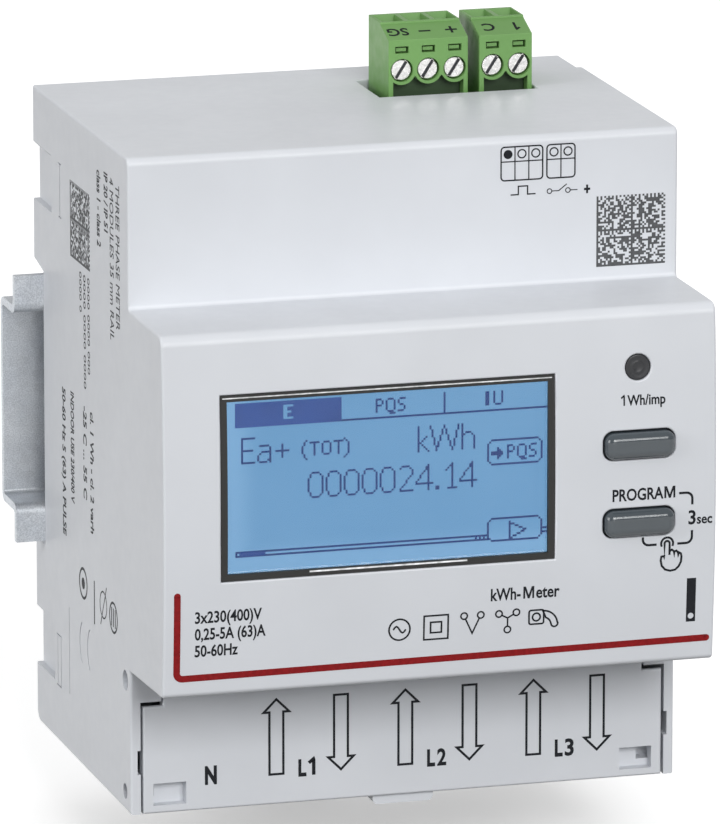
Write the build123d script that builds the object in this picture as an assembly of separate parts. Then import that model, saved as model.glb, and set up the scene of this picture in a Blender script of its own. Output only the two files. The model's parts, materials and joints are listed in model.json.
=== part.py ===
from build123d import *
import math
import os

# Four-module smart electricity meter on a top-hat rail, in millimetres.
# Origin: centre of the seat that rests on the rail. +Z up, the front faces -Y, +X to the right.

# --- driving dimensions: housing ---
WIDTH = 71.0
HALF = WIDTH / 2
TOP = 41.15
BOTTOM = -42.45
BACK = 5.05
SHOULDER = -42.65
FACE = -58.3
CROWN = 1.0
NOSE_TOP = 22.15
NOSE_BOTTOM_REAR = -24.0
NOSE_BOTTOM_FRONT = -23.4
WALL = 1.8
CHEEK = 1.3
FACE_INNER = FACE + 2.2

# --- rail and its clip ---
RAIL_HEIGHT = 35.0
RAIL_BASE = 27.0
RAIL_DEPTH = 7.5
RAIL_THICK = 1.0
RAIL_HALF_LENGTH = 39.3
RAIL_GAP = 0.05
RAIL_SLOT_PITCH = 25.0
RAIL_SLOT_LENGTH = 15.0
RAIL_SLOT_WIDTH = 6.2
RECESS_TOP = 17.95
RECESS_BOTTOM = -18.1
CLIP_HALF = 9.0
CLIP_TRAVEL = 4.5
CLIP_FOOT = -48.4
SPRING_X_HALF = 2.6
SPRING_LOW = -36.3
SPRING_HIGH = -23.6
SPRING_RADIUS = 1.5
SPRING_WIRE = 0.25
SPRING_TURNS = 8

# --- terminals ---
TERMINALS = 7
PITCH = 8.4
SCREW_Z = -35.8
CAGE_FRONT = -30.0
CAGE_BACK = -17.4
CAGE_LOW = -40.3
CAGE_HIGH = -31.3
CAGE_HALF = 3.5
BAR_FRONT = -25.0
BAR_BACK = -23.6
BAR_HALF = 2.3
CARRIER_FRONT = -36.8
CARRIER_BACK = -15.5
CHAMBER_CEILING = -22.7
CHAMBER_BACK = -15.3

# --- terminal cover ---
HINGE_Y = -40.3
HINGE_Z = -25.6
HINGE_PIN_R = 1.22
HINGE_HOLE_R = 1.30
SEAL_Y = -39.95
SEAL_Z = -40.0
SEAL_HOLE_R = 1.0
COVER_THICK = 1.6
COVER_HALF = 33.9
COVER_TONGUE_HALF = 31.3
COVER_CORNER_Z = -28.6
COVER_TOP_Z = -24.6

# --- display, lamp and buttons ---
VIEW_LEFT = -28.2
VIEW_RIGHT = 14.6
VIEW_LOW = -8.95
VIEW_HIGH = 14.52
FRAME_WIDTH = 0.9
LAMP_X = 25.3
LAMP_Z = 14.65
LAMP_R = 1.63
BUTTON_X = 25.41
BUTTON_ZS = {"button_upper": 4.92, "button_lower": -4.95}
BUTTON_WIDTH = 8.98
BUTTON_HEIGHT = 3.35
BUTTON_PROUD = 1.15
BUTTON_CORNER = 1.15
BUTTON_ROUND = 1.05
BUTTON_GAP = 0.2
RIM_ROUND = 0.2
BEZEL_SETBACK = 0.22
PANE_FRONT = -58.6
PANE_THICK = 0.6

# --- plug connectors ---
WAY = 3.5
PLUG_FRONT = -13.3
PLUG_BACK = -4.05
PLUG_LOW = 33.4
PLUG_SHOULDER_Z = 48.1
PLUG_TOP = 49.75
PLUG_SLANT_Y = -9.5
PLUG_SCREW_Z = 44.15
PLUGS = {"3way": (6.45, 3), "2way": (18.45, 2)}
WELL_LEFT = 4.95
WELL_RIGHT = 25.85
WELL_FRONT = -14.6
WELL_BACK = -3.3

PIN_Y = -8.95
STRIP_FRONT = -8.4
STRIP_BACK = -7.9

# --- what lies inside ---
BRIDGE_LOW = -11.0
BRIDGE_HIGH = -7.0
GLASS_FRONT = PANE_FRONT + PANE_THICK + 0.05
LCD_FRONT = FACE_INNER + 0.1
LCD_BACK = LCD_FRONT + 2.2
LIGHT_BACK = LCD_BACK + 3.0
DISPLAY_BOARD_FRONT = LIGHT_BACK + 0.1
DISPLAY_BOARD_BACK = DISPLAY_BOARD_FRONT + 1.6
BOARD_POSTS = [(-31.8, 17.2), (31.8, 17.2), (-31.8, -17.4), (31.8, -17.4)]
POST_R = 1.8
MAIN_BOARD_FRONT = -3.3
MAIN_BOARD_BACK = -1.7

os.makedirs("parts", exist_ok=True)


def block(x0, x1, y0, y1, z0, z1):
    """A box between two corners."""
    size = Box(x1 - x0, y1 - y0, z1 - z0)
    return Pos((x0 + x1) / 2, (y0 + y1) / 2, (z0 + z1) / 2) * size


def rod_y(x, z, radius, y0, y1):
    """A round bar along Y."""
    return Pos(x, (y0 + y1) / 2, z) * Rot(90, 0, 0) * Cylinder(radius, abs(y1 - y0))


def rod_x(y, z, radius, x0, x1):
    """A round bar along X."""
    return Pos((x0 + x1) / 2, y, z) * Rot(0, 90, 0) * Cylinder(radius, abs(x1 - x0))


def side_profile(points, x0, x1):
    """A closed outline of (y, z) points, drawn out from x0 to x1."""
    corners = [(x0, y, z) for y, z in points]
    return extrude(make_face(Polyline(*corners, close=True)), amount=x1 - x0, dir=(1, 0, 0))


def pill_y(x, z, width, height, y0, y1):
    """A bar along Y with a stadium-shaped section, long in X."""
    outline = Plane(origin=(x, y0, z), x_dir=(1, 0, 0), z_dir=(0, 1, 0)) * SlotOverall(width, height)
    return extrude(outline, amount=y1 - y0, dir=(0, 1, 0))


def key_bar(x, z, margin, y0, y1):
    """A bar along Y with the outline of a key, a rectangle with rounded corners, wider by a margin."""
    outline = Plane(origin=(x, y0, z), x_dir=(1, 0, 0), z_dir=(0, 1, 0)) * RectangleRounded(
        BUTTON_WIDTH + 2 * margin, BUTTON_HEIGHT + 2 * margin, BUTTON_CORNER + margin)
    return extrude(outline, amount=y1 - y0, dir=(0, 1, 0))


def x_edges(solid, *places):
    """Edges that run along X at the given (y, z) places."""
    found = []
    for edge in solid.edges().filter_by(Axis.X):
        middle = edge.center()
        if any(math.hypot(middle.Y - y, middle.Z - z) < 0.05 for y, z in places):
            found.append(edge)
    return found


def terminal_xs():
    """Centre of each terminal, from the neutral on the left to the last phase on the right."""
    return [PITCH * (number - (TERMINALS - 1) / 2) for number in range(TERMINALS)]


def plug_ways(name):
    """Centre of each way of one plug connector."""
    left, count = PLUGS[name]
    return [left + WAY * (number + 0.5) for number in range(count)]


def both_sides(shape):
    """A shape and its mirror image across the middle of the meter."""
    return shape + mirror(shape, about=Plane.YZ)


# ---------------------------------------------------------------- housing

def shell_outer():
    """The closed outer form: a tall back half with a crowned nose in front."""
    middle_z = (NOSE_TOP + NOSE_BOTTOM_FRONT) / 2
    walk = Polyline((-HALF, FACE, NOSE_TOP), (-HALF, SHOULDER, NOSE_TOP), (-HALF, SHOULDER, TOP),
                    (-HALF, BACK, TOP), (-HALF, BACK, BOTTOM), (-HALF, SHOULDER, BOTTOM),
                    (-HALF, SHOULDER, NOSE_BOTTOM_REAR), (-HALF, FACE, NOSE_BOTTOM_FRONT))
    crown = ThreePointArc((-HALF, FACE, NOSE_BOTTOM_FRONT), (-HALF, FACE - CROWN, middle_z),
                          (-HALF, FACE, NOSE_TOP))
    outer = extrude(make_face(walk.edges() + crown.edges()), amount=WIDTH, dir=(1, 0, 0))
    outer = fillet(x_edges(outer, (FACE, NOSE_TOP)), 1.4)
    outer = fillet(x_edges(outer, (SHOULDER, TOP)), 1.0)
    outer = fillet(x_edges(outer, (SHOULDER, NOSE_TOP)), 0.5)
    outer = fillet(x_edges(outer, (FACE, NOSE_BOTTOM_FRONT)), 0.7)
    outer = fillet(x_edges(outer, (BACK, BOTTOM)), 1.6)
    rims = []
    for edge in outer.edges():
        middle = edge.center()
        if abs(abs(middle.X) - HALF) < 0.01 and middle.Y < BACK - 0.5:
            rims.append(edge)
    return fillet(rims, 0.35)


def latch_recesses():
    """Shallow pockets behind the side walls where the base plate's latches snap in."""
    depth = 0.9
    cuts = []
    for low, high in ((26.5, 34.0), (-34.75, -27.1)):
        outline = Polyline((-HALF - 0.1, -4.9, low), (-HALF + depth, -1.0, low),
                           (-HALF + depth, BACK + 1, low), (-HALF - 0.1, BACK + 1, low), close=True)
        pocket = extrude(make_face(outline), amount=high - low, dir=(0, 0, 1))
        ramp = Polyline((-HALF + depth + 0.01, -6, high + 0.01), (-HALF + depth + 0.01, -6, high - depth),
                        (-HALF, -6, high + 0.01), close=True)
        cuts.append(pocket - extrude(make_face(ramp), amount=BACK + 8, dir=(0, 1, 0)))
    return cuts


def latch_slits():
    """Fine slits in the side walls around each latch, with short returns at their ends."""
    deep = 0.3
    fine = 0.2
    inner = -HALF + deep
    slits = block(-HALF - 1, inner, -8.9, -8.9 + fine, 26.7, 33.8)
    for z in (26.7, 33.6):
        slits += block(-HALF - 1, inner, -9.5, -8.1, z, z + fine)
    for y in (-7.9, -6.2):
        slits += block(-HALF - 1, inner, y, y + fine, -35.1, -28.2)
    for z in (-35.1, -28.4):
        slits += block(-HALF - 1, inner, -7.9, -5.6, z, z + fine)
    slits += block(-HALF - 1, inner, -12.2, -12.2 + fine, -34.7, -23.3)
    return slits


def grip_arcs():
    """Two shallow curved marks in front of the lower latch."""
    radius = 3.6
    half_width = 0.14
    deep = 0.15
    marks = []
    for crest in (-17.5, -21.4):
        middle = crest - radius
        ring = rod_x(middle, -26.25, radius + half_width, -HALF - 1, -HALF + deep)
        ring -= rod_x(middle, -26.25, radius - half_width, -HALF - 2, -HALF + 2)
        marks.append(ring & block(-HALF - 2, -HALF + 2, middle + 1.8, crest + 1, -28.9, -23.6))
    return marks


def terminal_chamber():
    """The room behind the terminal cover, open to the front and to the bottom."""
    room = block(-HALF + CHEEK, HALF - CHEEK, SHOULDER + 0.9, CHAMBER_BACK, BOTTOM - 1, CHAMBER_CEILING)
    mouth = block(-HALF + CHEEK, HALF - CHEEK, SHOULDER - 1, SHOULDER + 1, BOTTOM - 1, COVER_CORNER_Z + 0.6)
    tongue = block(-COVER_TONGUE_HALF - 0.2, COVER_TONGUE_HALF + 0.2, SHOULDER, SHOULDER + 1,
                   BOTTOM - 1, CHAMBER_CEILING)
    throat = block(-COVER_TONGUE_HALF - 0.2, COVER_TONGUE_HALF + 0.2, SHOULDER - 1, SHOULDER + 1,
                   BOTTOM - 1, NOSE_BOTTOM_REAR)
    side_notch = both_sides(block(-HALF + CHEEK - 0.4, -HALF + CHEEK + 0.1, SHOULDER - 1, SHOULDER + 3,
                                  -37.3, -34.2))
    return room + mouth + tongue + throat + side_notch


def electronics_room():
    """The hollow for the boards, from the nose to the open back."""
    inner_half = HALF - WALL
    floor = CHAMBER_CEILING + 1.7
    room = block(-inner_half, inner_half, SHOULDER + WALL, BACK + 1, floor, TOP - WALL)
    nose = block(-inner_half, inner_half, FACE_INNER, SHOULDER + WALL + 1, floor, NOSE_TOP - WALL)
    rear = block(-inner_half, inner_half, CHAMBER_BACK + 1.6, BACK + 1, BOTTOM + WALL, floor + 1)
    return room + nose + rear


def rail_recess(x0, x1):
    """The channel across the back that takes the rail, with its bevelled upper lip."""
    lip = 0.88
    return side_profile([(0, RECESS_BOTTOM), (BACK + 1, RECESS_BOTTOM), (BACK + 1, RECESS_TOP + lip),
                         (BACK - 0.3, RECESS_TOP + lip), (0, RECESS_TOP)], x0, x1)


def front_rims(shell):
    """Edges of the display, lamp and key openings on the crowned face."""
    rims = []
    for edge in shell.edges():
        middle = edge.center()
        box = edge.bounding_box()
        inside = abs(middle.X) < HALF - 3 and NOSE_BOTTOM_FRONT + 3 < middle.Z < NOSE_TOP - 3
        if inside and box.max.Y < FACE and box.max.Y - box.min.Y < CROWN:
            rims.append(edge)
    return rims


def well_rims(shell):
    """Upper edges of the opening for the plugs."""
    rims = []
    for edge in shell.edges():
        middle = edge.center()
        if abs(middle.Z - TOP) < 0.01 and WELL_LEFT - 0.01 <= middle.X <= WELL_RIGHT + 0.01 \
                and WELL_FRONT - 0.01 <= middle.Y <= WELL_BACK + 0.01:
            rims.append(edge)
    return rims


def main_shell():
    shell = shell_outer() - electronics_room() - terminal_chamber()
    shell -= rail_recess(-HALF - 1, HALF + 1)
    for cut in latch_recesses():
        shell -= both_sides(cut)
    shell -= block(HALF - 0.95, HALF + 1, -3.1, BACK + 1, 33.0, TOP + 1)
    shell -= both_sides(latch_slits())
    for mark in grip_arcs():
        shell -= both_sides(mark)
    shell -= block(VIEW_LEFT, VIEW_RIGHT, FACE - 3, FACE_INNER + 1, VIEW_LOW, VIEW_HIGH)
    shell -= rod_y(LAMP_X, LAMP_Z, LAMP_R + 0.05, FACE - 3, FACE_INNER + 1)
    for z in BUTTON_ZS.values():
        shell -= key_bar(BUTTON_X, z, BUTTON_GAP, FACE - 3, FACE_INNER + 1)
    shell = fillet(front_rims(shell), RIM_ROUND)
    shell -= block(WELL_LEFT, WELL_RIGHT, WELL_FRONT, WELL_BACK, TOP - WALL - 1, TOP + 1)
    shell = fillet(well_rims(shell), RIM_ROUND)
    shell -= rod_x(HINGE_Y, HINGE_Z, HINGE_HOLE_R, -HALF - 1, HALF + 1)
    shell -= rod_x(SEAL_Y, SEAL_Z, SEAL_HOLE_R, -HALF - 1, HALF + 1)
    shell -= block(-CLIP_HALF - 2, CLIP_HALF + 2, 0.8, BACK + 1, BOTTOM - 1, BOTTOM + WALL + 0.1)
    for x in terminal_xs():
        shell -= block(x - BAR_HALF - 0.3, x + BAR_HALF + 0.3, BAR_FRONT - 0.4, BAR_BACK + 0.4,
                       CHAMBER_CEILING - 0.1, CHAMBER_CEILING + 1.8)
    for x, z in BOARD_POSTS:
        shell += rod_y(x, z, POST_R, FACE_INNER - 0.5, DISPLAY_BOARD_FRONT)
        shell -= rod_y(x, z, 0.9, FACE_INNER + 1, DISPLAY_BOARD_FRONT + 1)
    return shell


def base_plate():
    """Rear closure with the rail seat, the fixed upper hooks and the track of the clip."""
    wall = 1.6
    edge = HALF - WALL - 0.15
    outline = [(BACK, TOP - WALL - 0.1), (BACK, RECESS_TOP + 0.88), (BACK - 0.3, RECESS_TOP + 0.88),
               (0, RECESS_TOP), (0, RECESS_BOTTOM), (BACK, RECESS_BOTTOM), (BACK, BOTTOM + WALL + 0.1),
               (BACK - wall, BOTTOM + WALL + 0.1), (BACK - wall, RECESS_BOTTOM - wall),
               (-wall, RECESS_BOTTOM - wall), (-wall, RECESS_TOP + wall),
               (BACK - wall, RECESS_TOP + 0.88 + wall), (BACK - wall, TOP - WALL - 0.1)]
    plate = side_profile(outline, -edge, edge)
    for side in (-1, 1):
        near, far = sorted((side * 14.0, side * 24.0))
        plate += side_profile([(1.15, RECESS_TOP + 0.6), (1.15, 16.3), (2.4, 16.3), (3.8, RECESS_TOP + 1.6)],
                              near, far)
    boss_low = BOTTOM + WALL + 0.1
    plate += block(-CLIP_HALF - 4, CLIP_HALF + 4, -0.6, BACK, boss_low, RECESS_BOTTOM)
    plate -= block(-CLIP_HALF - 0.2, CLIP_HALF + 0.2, 1.0, BACK + 1, boss_low - 1, RECESS_BOTTOM + 1)
    plate -= block(-CLIP_HALF - 1.7, CLIP_HALF + 1.7, 1.0, 2.6, boss_low - 1, RECESS_BOTTOM + 1)
    plate += block(-SPRING_X_HALF + 0.2, SPRING_X_HALF - 0.2, 0.9, 4.6, SPRING_LOW - 1.0, SPRING_LOW)
    return plate


def din_clip():
    """Sliding foot that locks the meter on the rail and is pulled down to let it go."""
    front = 1.15
    rear = 4.9
    clip = block(-CLIP_HALF, CLIP_HALF, front, rear, CLIP_FOOT, RECESS_BOTTOM - 0.3)
    clip = fillet([e for e in clip.edges().filter_by(Axis.Y) if e.center().Z < CLIP_FOOT + 1], 1.8)
    clip += block(-CLIP_HALF - 1.5, CLIP_HALF + 1.5, front, 2.45, BOTTOM + 3.0, -22.8)
    clip += side_profile([(front, RECESS_BOTTOM - 0.4), (front, -16.0), (front + 0.5, -16.0),
                          (3.2, RECESS_BOTTOM - 0.4)], -CLIP_HALF, CLIP_HALF)
    clip -= block(-SPRING_X_HALF, SPRING_X_HALF, 0, 6, SPRING_LOW - 1.2, SPRING_HIGH)
    clip -= pill_y(0, -45.6, 9.0, 2.2, 0, 6)
    for z in (-41.0, -39.6, -38.2):
        clip -= block(-CLIP_HALF + 2, CLIP_HALF - 2, rear - 0.3, rear + 1, z, z + 0.5)
    return clip


def clip_spring():
    """Compression coil between the base plate's ledge and the top of the clip's window."""
    height = SPRING_HIGH - SPRING_LOW - 2 * SPRING_WIRE - 0.1
    path = Helix(height / SPRING_TURNS, height, SPRING_RADIUS)
    section = Plane(origin=path @ 0, z_dir=path % 0) * Circle(SPRING_WIRE)
    return Pos(0, 2.95, SPRING_LOW + SPRING_WIRE + 0.05) * sweep(section, path=path, is_frenet=True)


def din_rail():
    """A short length of 35 x 7.5 mm slotted top-hat rail."""
    lip = RAIL_HEIGHT / 2
    web = RAIL_BASE / 2
    thin = RAIL_THICK
    front = RAIL_GAP
    rear = RAIL_GAP + RAIL_DEPTH
    half = [(front, lip), (front, web - thin), (rear - thin, web - thin)]
    outer = [(rear, web), (front + thin, web), (front + thin, lip)]
    outline = (half + [(y, -z) for y, z in reversed(half)]
               + [(y, -z) for y, z in reversed(outer)] + outer)
    rail = side_profile(outline, -RAIL_HALF_LENGTH, RAIL_HALF_LENGTH)
    tight = x_edges(rail, (rear - thin, web - thin), (rear - thin, thin - web),
                    (front + thin, web), (front + thin, -web))
    rail = fillet(tight, 0.5)
    wide = x_edges(rail, (rear, web), (rear, -web), (front, web - thin), (front, thin - web))
    rail = fillet(wide, 1.3)
    for number in (-1, 0, 1):
        rail -= pill_y(number * RAIL_SLOT_PITCH, 0, RAIL_SLOT_LENGTH, RAIL_SLOT_WIDTH, 0, rear + 1)
    return rail


# ---------------------------------------------------------------- terminals

def terminal_carrier():
    """Insulating block with one chamber, one screw bore and one wire entry for each terminal."""
    edge = HALF - CHEEK - 0.2
    carrier = block(-edge, edge, CARRIER_FRONT, CARRIER_BACK, BOTTOM + 0.15, CHAMBER_CEILING - 0.1)
    carrier -= block(-edge + 3, edge - 3, CARRIER_FRONT - 1, CARRIER_FRONT + 2.6, BOTTOM - 1, -41.0)
    for x in terminal_xs():
        carrier -= block(x - CAGE_HALF - 0.15, x + CAGE_HALF + 0.15, -33.4, CAGE_BACK + 0.2,
                         CAGE_LOW - 0.5, CAGE_HIGH + 0.3)
        carrier -= rod_y(x, SCREW_Z, 2.75, CARRIER_FRONT - 1, -33.0)
        carrier -= block(x - 2.9, x + 2.9, BAR_BACK - 0.1, -18.6, BOTTOM - 1, CAGE_LOW)
        carrier -= block(x - BAR_HALF - 0.2, x + BAR_HALF + 0.2, BAR_FRONT - 0.2, BAR_BACK + 0.2,
                         CAGE_LOW, CHAMBER_CEILING + 1)
        carrier -= block(x - 2.0, x + 2.0, -33.4, -26.5, -27.6, CHAMBER_CEILING + 1)
    return carrier


def terminal_cage(x):
    """Rising clamp that lifts the wire against its busbar."""
    cage = block(x - CAGE_HALF, x + CAGE_HALF, CAGE_FRONT, CAGE_BACK, CAGE_LOW, CAGE_HIGH)
    cage -= block(x - 2.6, x + 2.6, CAGE_FRONT + 2.2, CAGE_BACK - 1.6, CAGE_LOW - 1, CAGE_HIGH + 1)
    cage = fillet(cage.edges().filter_by(Axis.Z).sort_by(Axis.Y)[-2:], 0.8)
    for z in (-38.4, -35.9, -33.4):
        cage -= block(x - 2.7, x + 2.7, CAGE_BACK - 1.9, CAGE_BACK - 1.35, z, z + 0.5)
    return cage - rod_y(x, SCREW_Z, 2.0, CAGE_FRONT - 1, CAGE_FRONT + 3)


def terminal_screw(x):
    """Screw with a combined slot and cross, held in the carrier so that only its cage travels."""
    head_front = -35.6
    head_back = -33.6
    screw = rod_y(x, SCREW_Z, 2.6, head_front, head_back)
    screw = chamfer(screw.edges().sort_by(Axis.Y)[0], 0.3)
    screw += rod_y(x, SCREW_Z, 1.94, head_back - 0.1, BAR_FRONT - 0.05)
    screw -= block(x - 3, x + 3, head_front - 1, head_front + 1.1, SCREW_Z - 0.4, SCREW_Z + 0.4)
    screw -= block(x - 0.55, x + 0.55, head_front - 1, head_front + 1.3, SCREW_Z - 1.7, SCREW_Z + 1.7)
    return screw


def busbar_leg(x, high):
    """Upright strip that stands in one cage."""
    return block(x - BAR_HALF, x + BAR_HALF, BAR_FRONT, BAR_BACK, CAGE_LOW + 0.5, high)


def phase_busbars():
    """One hoop of strip for each phase, from its inlet terminal to its outlet terminal."""
    xs = terminal_xs()
    bars = []
    for phase in range(3):
        inlet = xs[1 + 2 * phase]
        outlet = xs[2 + 2 * phase]
        hoop = busbar_leg(inlet, BRIDGE_HIGH) + busbar_leg(outlet, BRIDGE_HIGH)
        bars.append(hoop + block(inlet, outlet, BAR_FRONT, BAR_BACK, BRIDGE_LOW, BRIDGE_HIGH))
    return Compound(bars)


def neutral_bar():
    """Strip from the neutral terminal to a tab on the main board."""
    x = terminal_xs()[0]
    bar = busbar_leg(x, -14.0)
    bar += block(x - BAR_HALF, x + BAR_HALF, BAR_FRONT, MAIN_BOARD_FRONT - 0.05, -15.2, -14.0)
    return bar


def current_transformers():
    """Ring cores around the bridge of each phase busbar."""
    xs = terminal_xs()
    rings = []
    middle_y = (BAR_FRONT + BAR_BACK) / 2
    middle_z = (BRIDGE_LOW + BRIDGE_HIGH) / 2
    for phase in range(3):
        middle = (xs[1 + 2 * phase] + xs[2 + 2 * phase]) / 2
        ring = rod_x(middle_y, middle_z, 6.2, middle - 1.7, middle + 1.7)
        ring = chamfer(ring.edges().filter_by(GeomType.CIRCLE), 0.5)
        rings.append(ring - rod_x(middle_y, middle_z, 2.9, middle - 3, middle + 3))
    return Compound(rings)


def terminal_cover():
    """Hinged flap over the screws, with sealing pockets and a finger lip."""
    inner = SHOULDER + COVER_THICK
    cover = block(-COVER_HALF, COVER_HALF, SHOULDER, inner, BOTTOM, COVER_CORNER_Z)
    cover += block(-COVER_TONGUE_HALF, COVER_TONGUE_HALF, SHOULDER, inner, BOTTOM + 1, COVER_TOP_Z)
    cover = fillet([e for e in cover.edges() if abs(e.center().Y - SHOULDER) < 0.01], 0.3)
    for side in (-1, 1):
        near, far = sorted((side * (COVER_TONGUE_HALF + 0.01), side * (COVER_HALF + 1)))
        cover -= side_profile([(inner + 0.1, COVER_CORNER_Z - 1.1), (inner + 0.1, COVER_CORNER_Z + 0.1),
                               (inner - 1.1, COVER_CORNER_Z + 0.1)], near, far)
        near, far = sorted((side * 28.4, side * 31.2))
        cover += block(near, far, SHOULDER + 0.4, HINGE_Y + 1.1, HINGE_Z - 1.5, HINGE_Z + 1.0)
        near, far = sorted((side * 30.0, side * (HALF - 0.7)))
        cover += rod_x(HINGE_Y, HINGE_Z, HINGE_PIN_R, near, far)
        near, far = sorted((side * 27.4, side * 33.5))
        cover += block(near, far, inner - 0.1, SHOULDER + 4.2, BOTTOM + 0.2, -37.8)
        near, far = sorted((side * 28.33, side * 32.57))
        cover -= block(near, far, SHOULDER - 1, SHOULDER + 1.5, -41.45, -38.6)
        eye = 31.0 if side > 0 else 32.15
        near, far = sorted((side * eye, side * 32.57))
        cover -= block(near, far, SHOULDER - 1, SHOULDER + 3.6, -40.6, -38.6)
        near, far = sorted((side * 32.0, side * 35.0))
        cover -= rod_x(SEAL_Y, SEAL_Z, SEAL_HOLE_R, near, far)
    lip = block(-3.95, 3.95, SHOULDER + 0.6, SHOULDER + 4.6, BOTTOM - 1.2, BOTTOM + 0.01)
    lip = fillet([e for e in lip.edges().filter_by(Axis.Y) if e.center().Z < BOTTOM - 1], 0.7)
    cover += lip
    cover += block(-3.95, 3.95, inner - 0.1, SHOULDER + 4.6, BOTTOM, BOTTOM + 1.0)
    return cover


# ---------------------------------------------------------------- display, lamp and buttons

def display_bezel():
    """Dark frame around the display window, set a little behind the crowned face."""
    gap = 0.08
    frame = block(VIEW_LEFT + gap, VIEW_RIGHT - gap, FACE - 3, FACE_INNER, VIEW_LOW + gap, VIEW_HIGH - gap)
    frame &= Pos(0, BEZEL_SETBACK, 0) * shell_outer()
    hole = block(VIEW_LEFT + FRAME_WIDTH, VIEW_RIGHT - FRAME_WIDTH, FACE - 3, FACE_INNER + 1,
                 VIEW_LOW + FRAME_WIDTH, VIEW_HIGH - FRAME_WIDTH)
    return frame - hole


def display_window():
    """Clear pane in front of the liquid crystal glass."""
    return display_plate(-FRAME_WIDTH - 0.03, PANE_FRONT, PANE_FRONT + PANE_THICK)


def display_plate(margin, y0, y1):
    """A flat layer of the display stack, wider than the view by a margin."""
    return block(VIEW_LEFT - margin, VIEW_RIGHT + margin, y0, y1, VIEW_LOW - margin, VIEW_HIGH + margin)


def lcd_panel():
    """Liquid crystal cell: a front glass inside the frame on a wider rear glass."""
    front_glass = display_plate(-FRAME_WIDTH - 0.03, GLASS_FRONT, LCD_FRONT + 0.01)
    return front_glass + display_plate(1.6, LCD_FRONT, LCD_BACK)


def lcd_backlight():
    """Light guide frame behind the glass, with its lamp strip on the right."""
    guide = display_plate(1.6, LCD_BACK + 0.02, LIGHT_BACK)
    return guide - block(VIEW_LEFT, VIEW_RIGHT - 6, LIGHT_BACK - 0.8, LIGHT_BACK + 1, VIEW_LOW, VIEW_HIGH)


def led_lens():
    """Smoked lens of the pulse lamp."""
    lens = rod_y(LAMP_X, LAMP_Z, LAMP_R, FACE - 0.55, FACE_INNER + 0.4)
    lens = chamfer(lens.edges().sort_by(Axis.Y)[0], 0.25)
    return lens + rod_y(LAMP_X, LAMP_Z, LAMP_R + 0.7, FACE_INNER + 0.02, FACE_INNER + 0.8)


def pulse_led():
    """Light emitting diode behind the smoked lens."""
    body = rod_y(LAMP_X, LAMP_Z, 1.5, FACE_INNER + 2.4, DISPLAY_BOARD_FRONT - 0.02)
    dome = Pos(LAMP_X, FACE_INNER + 2.4, LAMP_Z) * Sphere(1.5)
    return body + dome


def display_board():
    """Board behind the display, with holes for its screws."""
    board = block(-HALF + WALL + 0.4, HALF - WALL - 0.4, DISPLAY_BOARD_FRONT, DISPLAY_BOARD_BACK, -20.4, 19.8)
    for x, z in BOARD_POSTS:
        board -= rod_y(x, z, 1.2, DISPLAY_BOARD_FRONT - 1, DISPLAY_BOARD_BACK + 1)
    return board


def board_screws():
    """Pan-head screws that hold the display board to the shell's posts."""
    screws = []
    for x, z in BOARD_POSTS:
        head = rod_y(x, z, 1.7, DISPLAY_BOARD_BACK + 0.02, DISPLAY_BOARD_BACK + 1.5)
        head = fillet(head.edges().sort_by(Axis.Y)[-1], 0.6)
        screw = head + rod_y(x, z, 0.85, DISPLAY_BOARD_FRONT - 3.2, DISPLAY_BOARD_BACK + 0.1)
        screw -= block(x - 1.2, x + 1.2, DISPLAY_BOARD_BACK + 0.8, DISPLAY_BOARD_BACK + 3, z - 0.25, z + 0.25)
        screw -= block(x - 0.25, x + 0.25, DISPLAY_BOARD_BACK + 0.8, DISPLAY_BOARD_BACK + 3, z - 1.2, z + 1.2)
        screws.append(screw)
    return Compound(screws)


def tact_switches():
    """Two small key switches under the buttons."""
    switches = []
    for z in BUTTON_ZS.values():
        body = block(BUTTON_X - 3, BUTTON_X + 3, DISPLAY_BOARD_FRONT - 3.0, DISPLAY_BOARD_FRONT - 0.02,
                     z - 3, z + 3)
        body = chamfer(body.edges().filter_by(Axis.Y), 0.4)
        switches.append(body + rod_y(BUTTON_X, z, 1.6, DISPLAY_BOARD_FRONT - 3.6, DISPLAY_BOARD_FRONT - 2.9))
    return Compound(switches)


def button(z):
    """Oblong key with a rounded rim and a flange that keeps it in the shell."""
    front = FACE - CROWN - BUTTON_PROUD
    cap = key_bar(BUTTON_X, z, 0, front, FACE_INNER + 0.2)
    cap = fillet([e for e in cap.edges() if abs(e.center().Y - front) < 0.01], BUTTON_ROUND)
    flange = key_bar(BUTTON_X, z, 0.8, FACE_INNER + 0.1, FACE_INNER + 0.9)
    return cap + flange


# ---------------------------------------------------------------- boards inside

def main_board():
    """Main board against the back, with a cut-out over the rail clip's boss."""
    board = block(-HALF + WALL + 0.4, HALF - WALL - 0.4, MAIN_BOARD_FRONT, MAIN_BOARD_BACK, -20.0, 38.8)
    for x in (-30.5, 30.5):
        for z in (-16.5, 35.0):
            board -= rod_y(x, z, 1.6, MAIN_BOARD_FRONT - 1, MAIN_BOARD_BACK + 1)
    return board


def link_board():
    """Upright card with the conductors between the two boards."""
    return block(31.2, 32.6, DISPLAY_BOARD_BACK + 0.05, MAIN_BOARD_FRONT - 0.05, -6.0, 12.0)


def board_chips():
    """Measuring chip, processor and isolator on the main board."""
    chips = []
    for x, z, wide, tall in ((-8.0, 6.0, 10.0, 10.0), (8.0, 8.0, 12.0, 12.0), (20.0, 24.0, 9.0, 5.0)):
        chips.append(block(x - wide / 2, x + wide / 2, MAIN_BOARD_FRONT - 1.5, MAIN_BOARD_FRONT - 0.02,
                           z - tall / 2, z + tall / 2))
    return Compound(chips)


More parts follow.
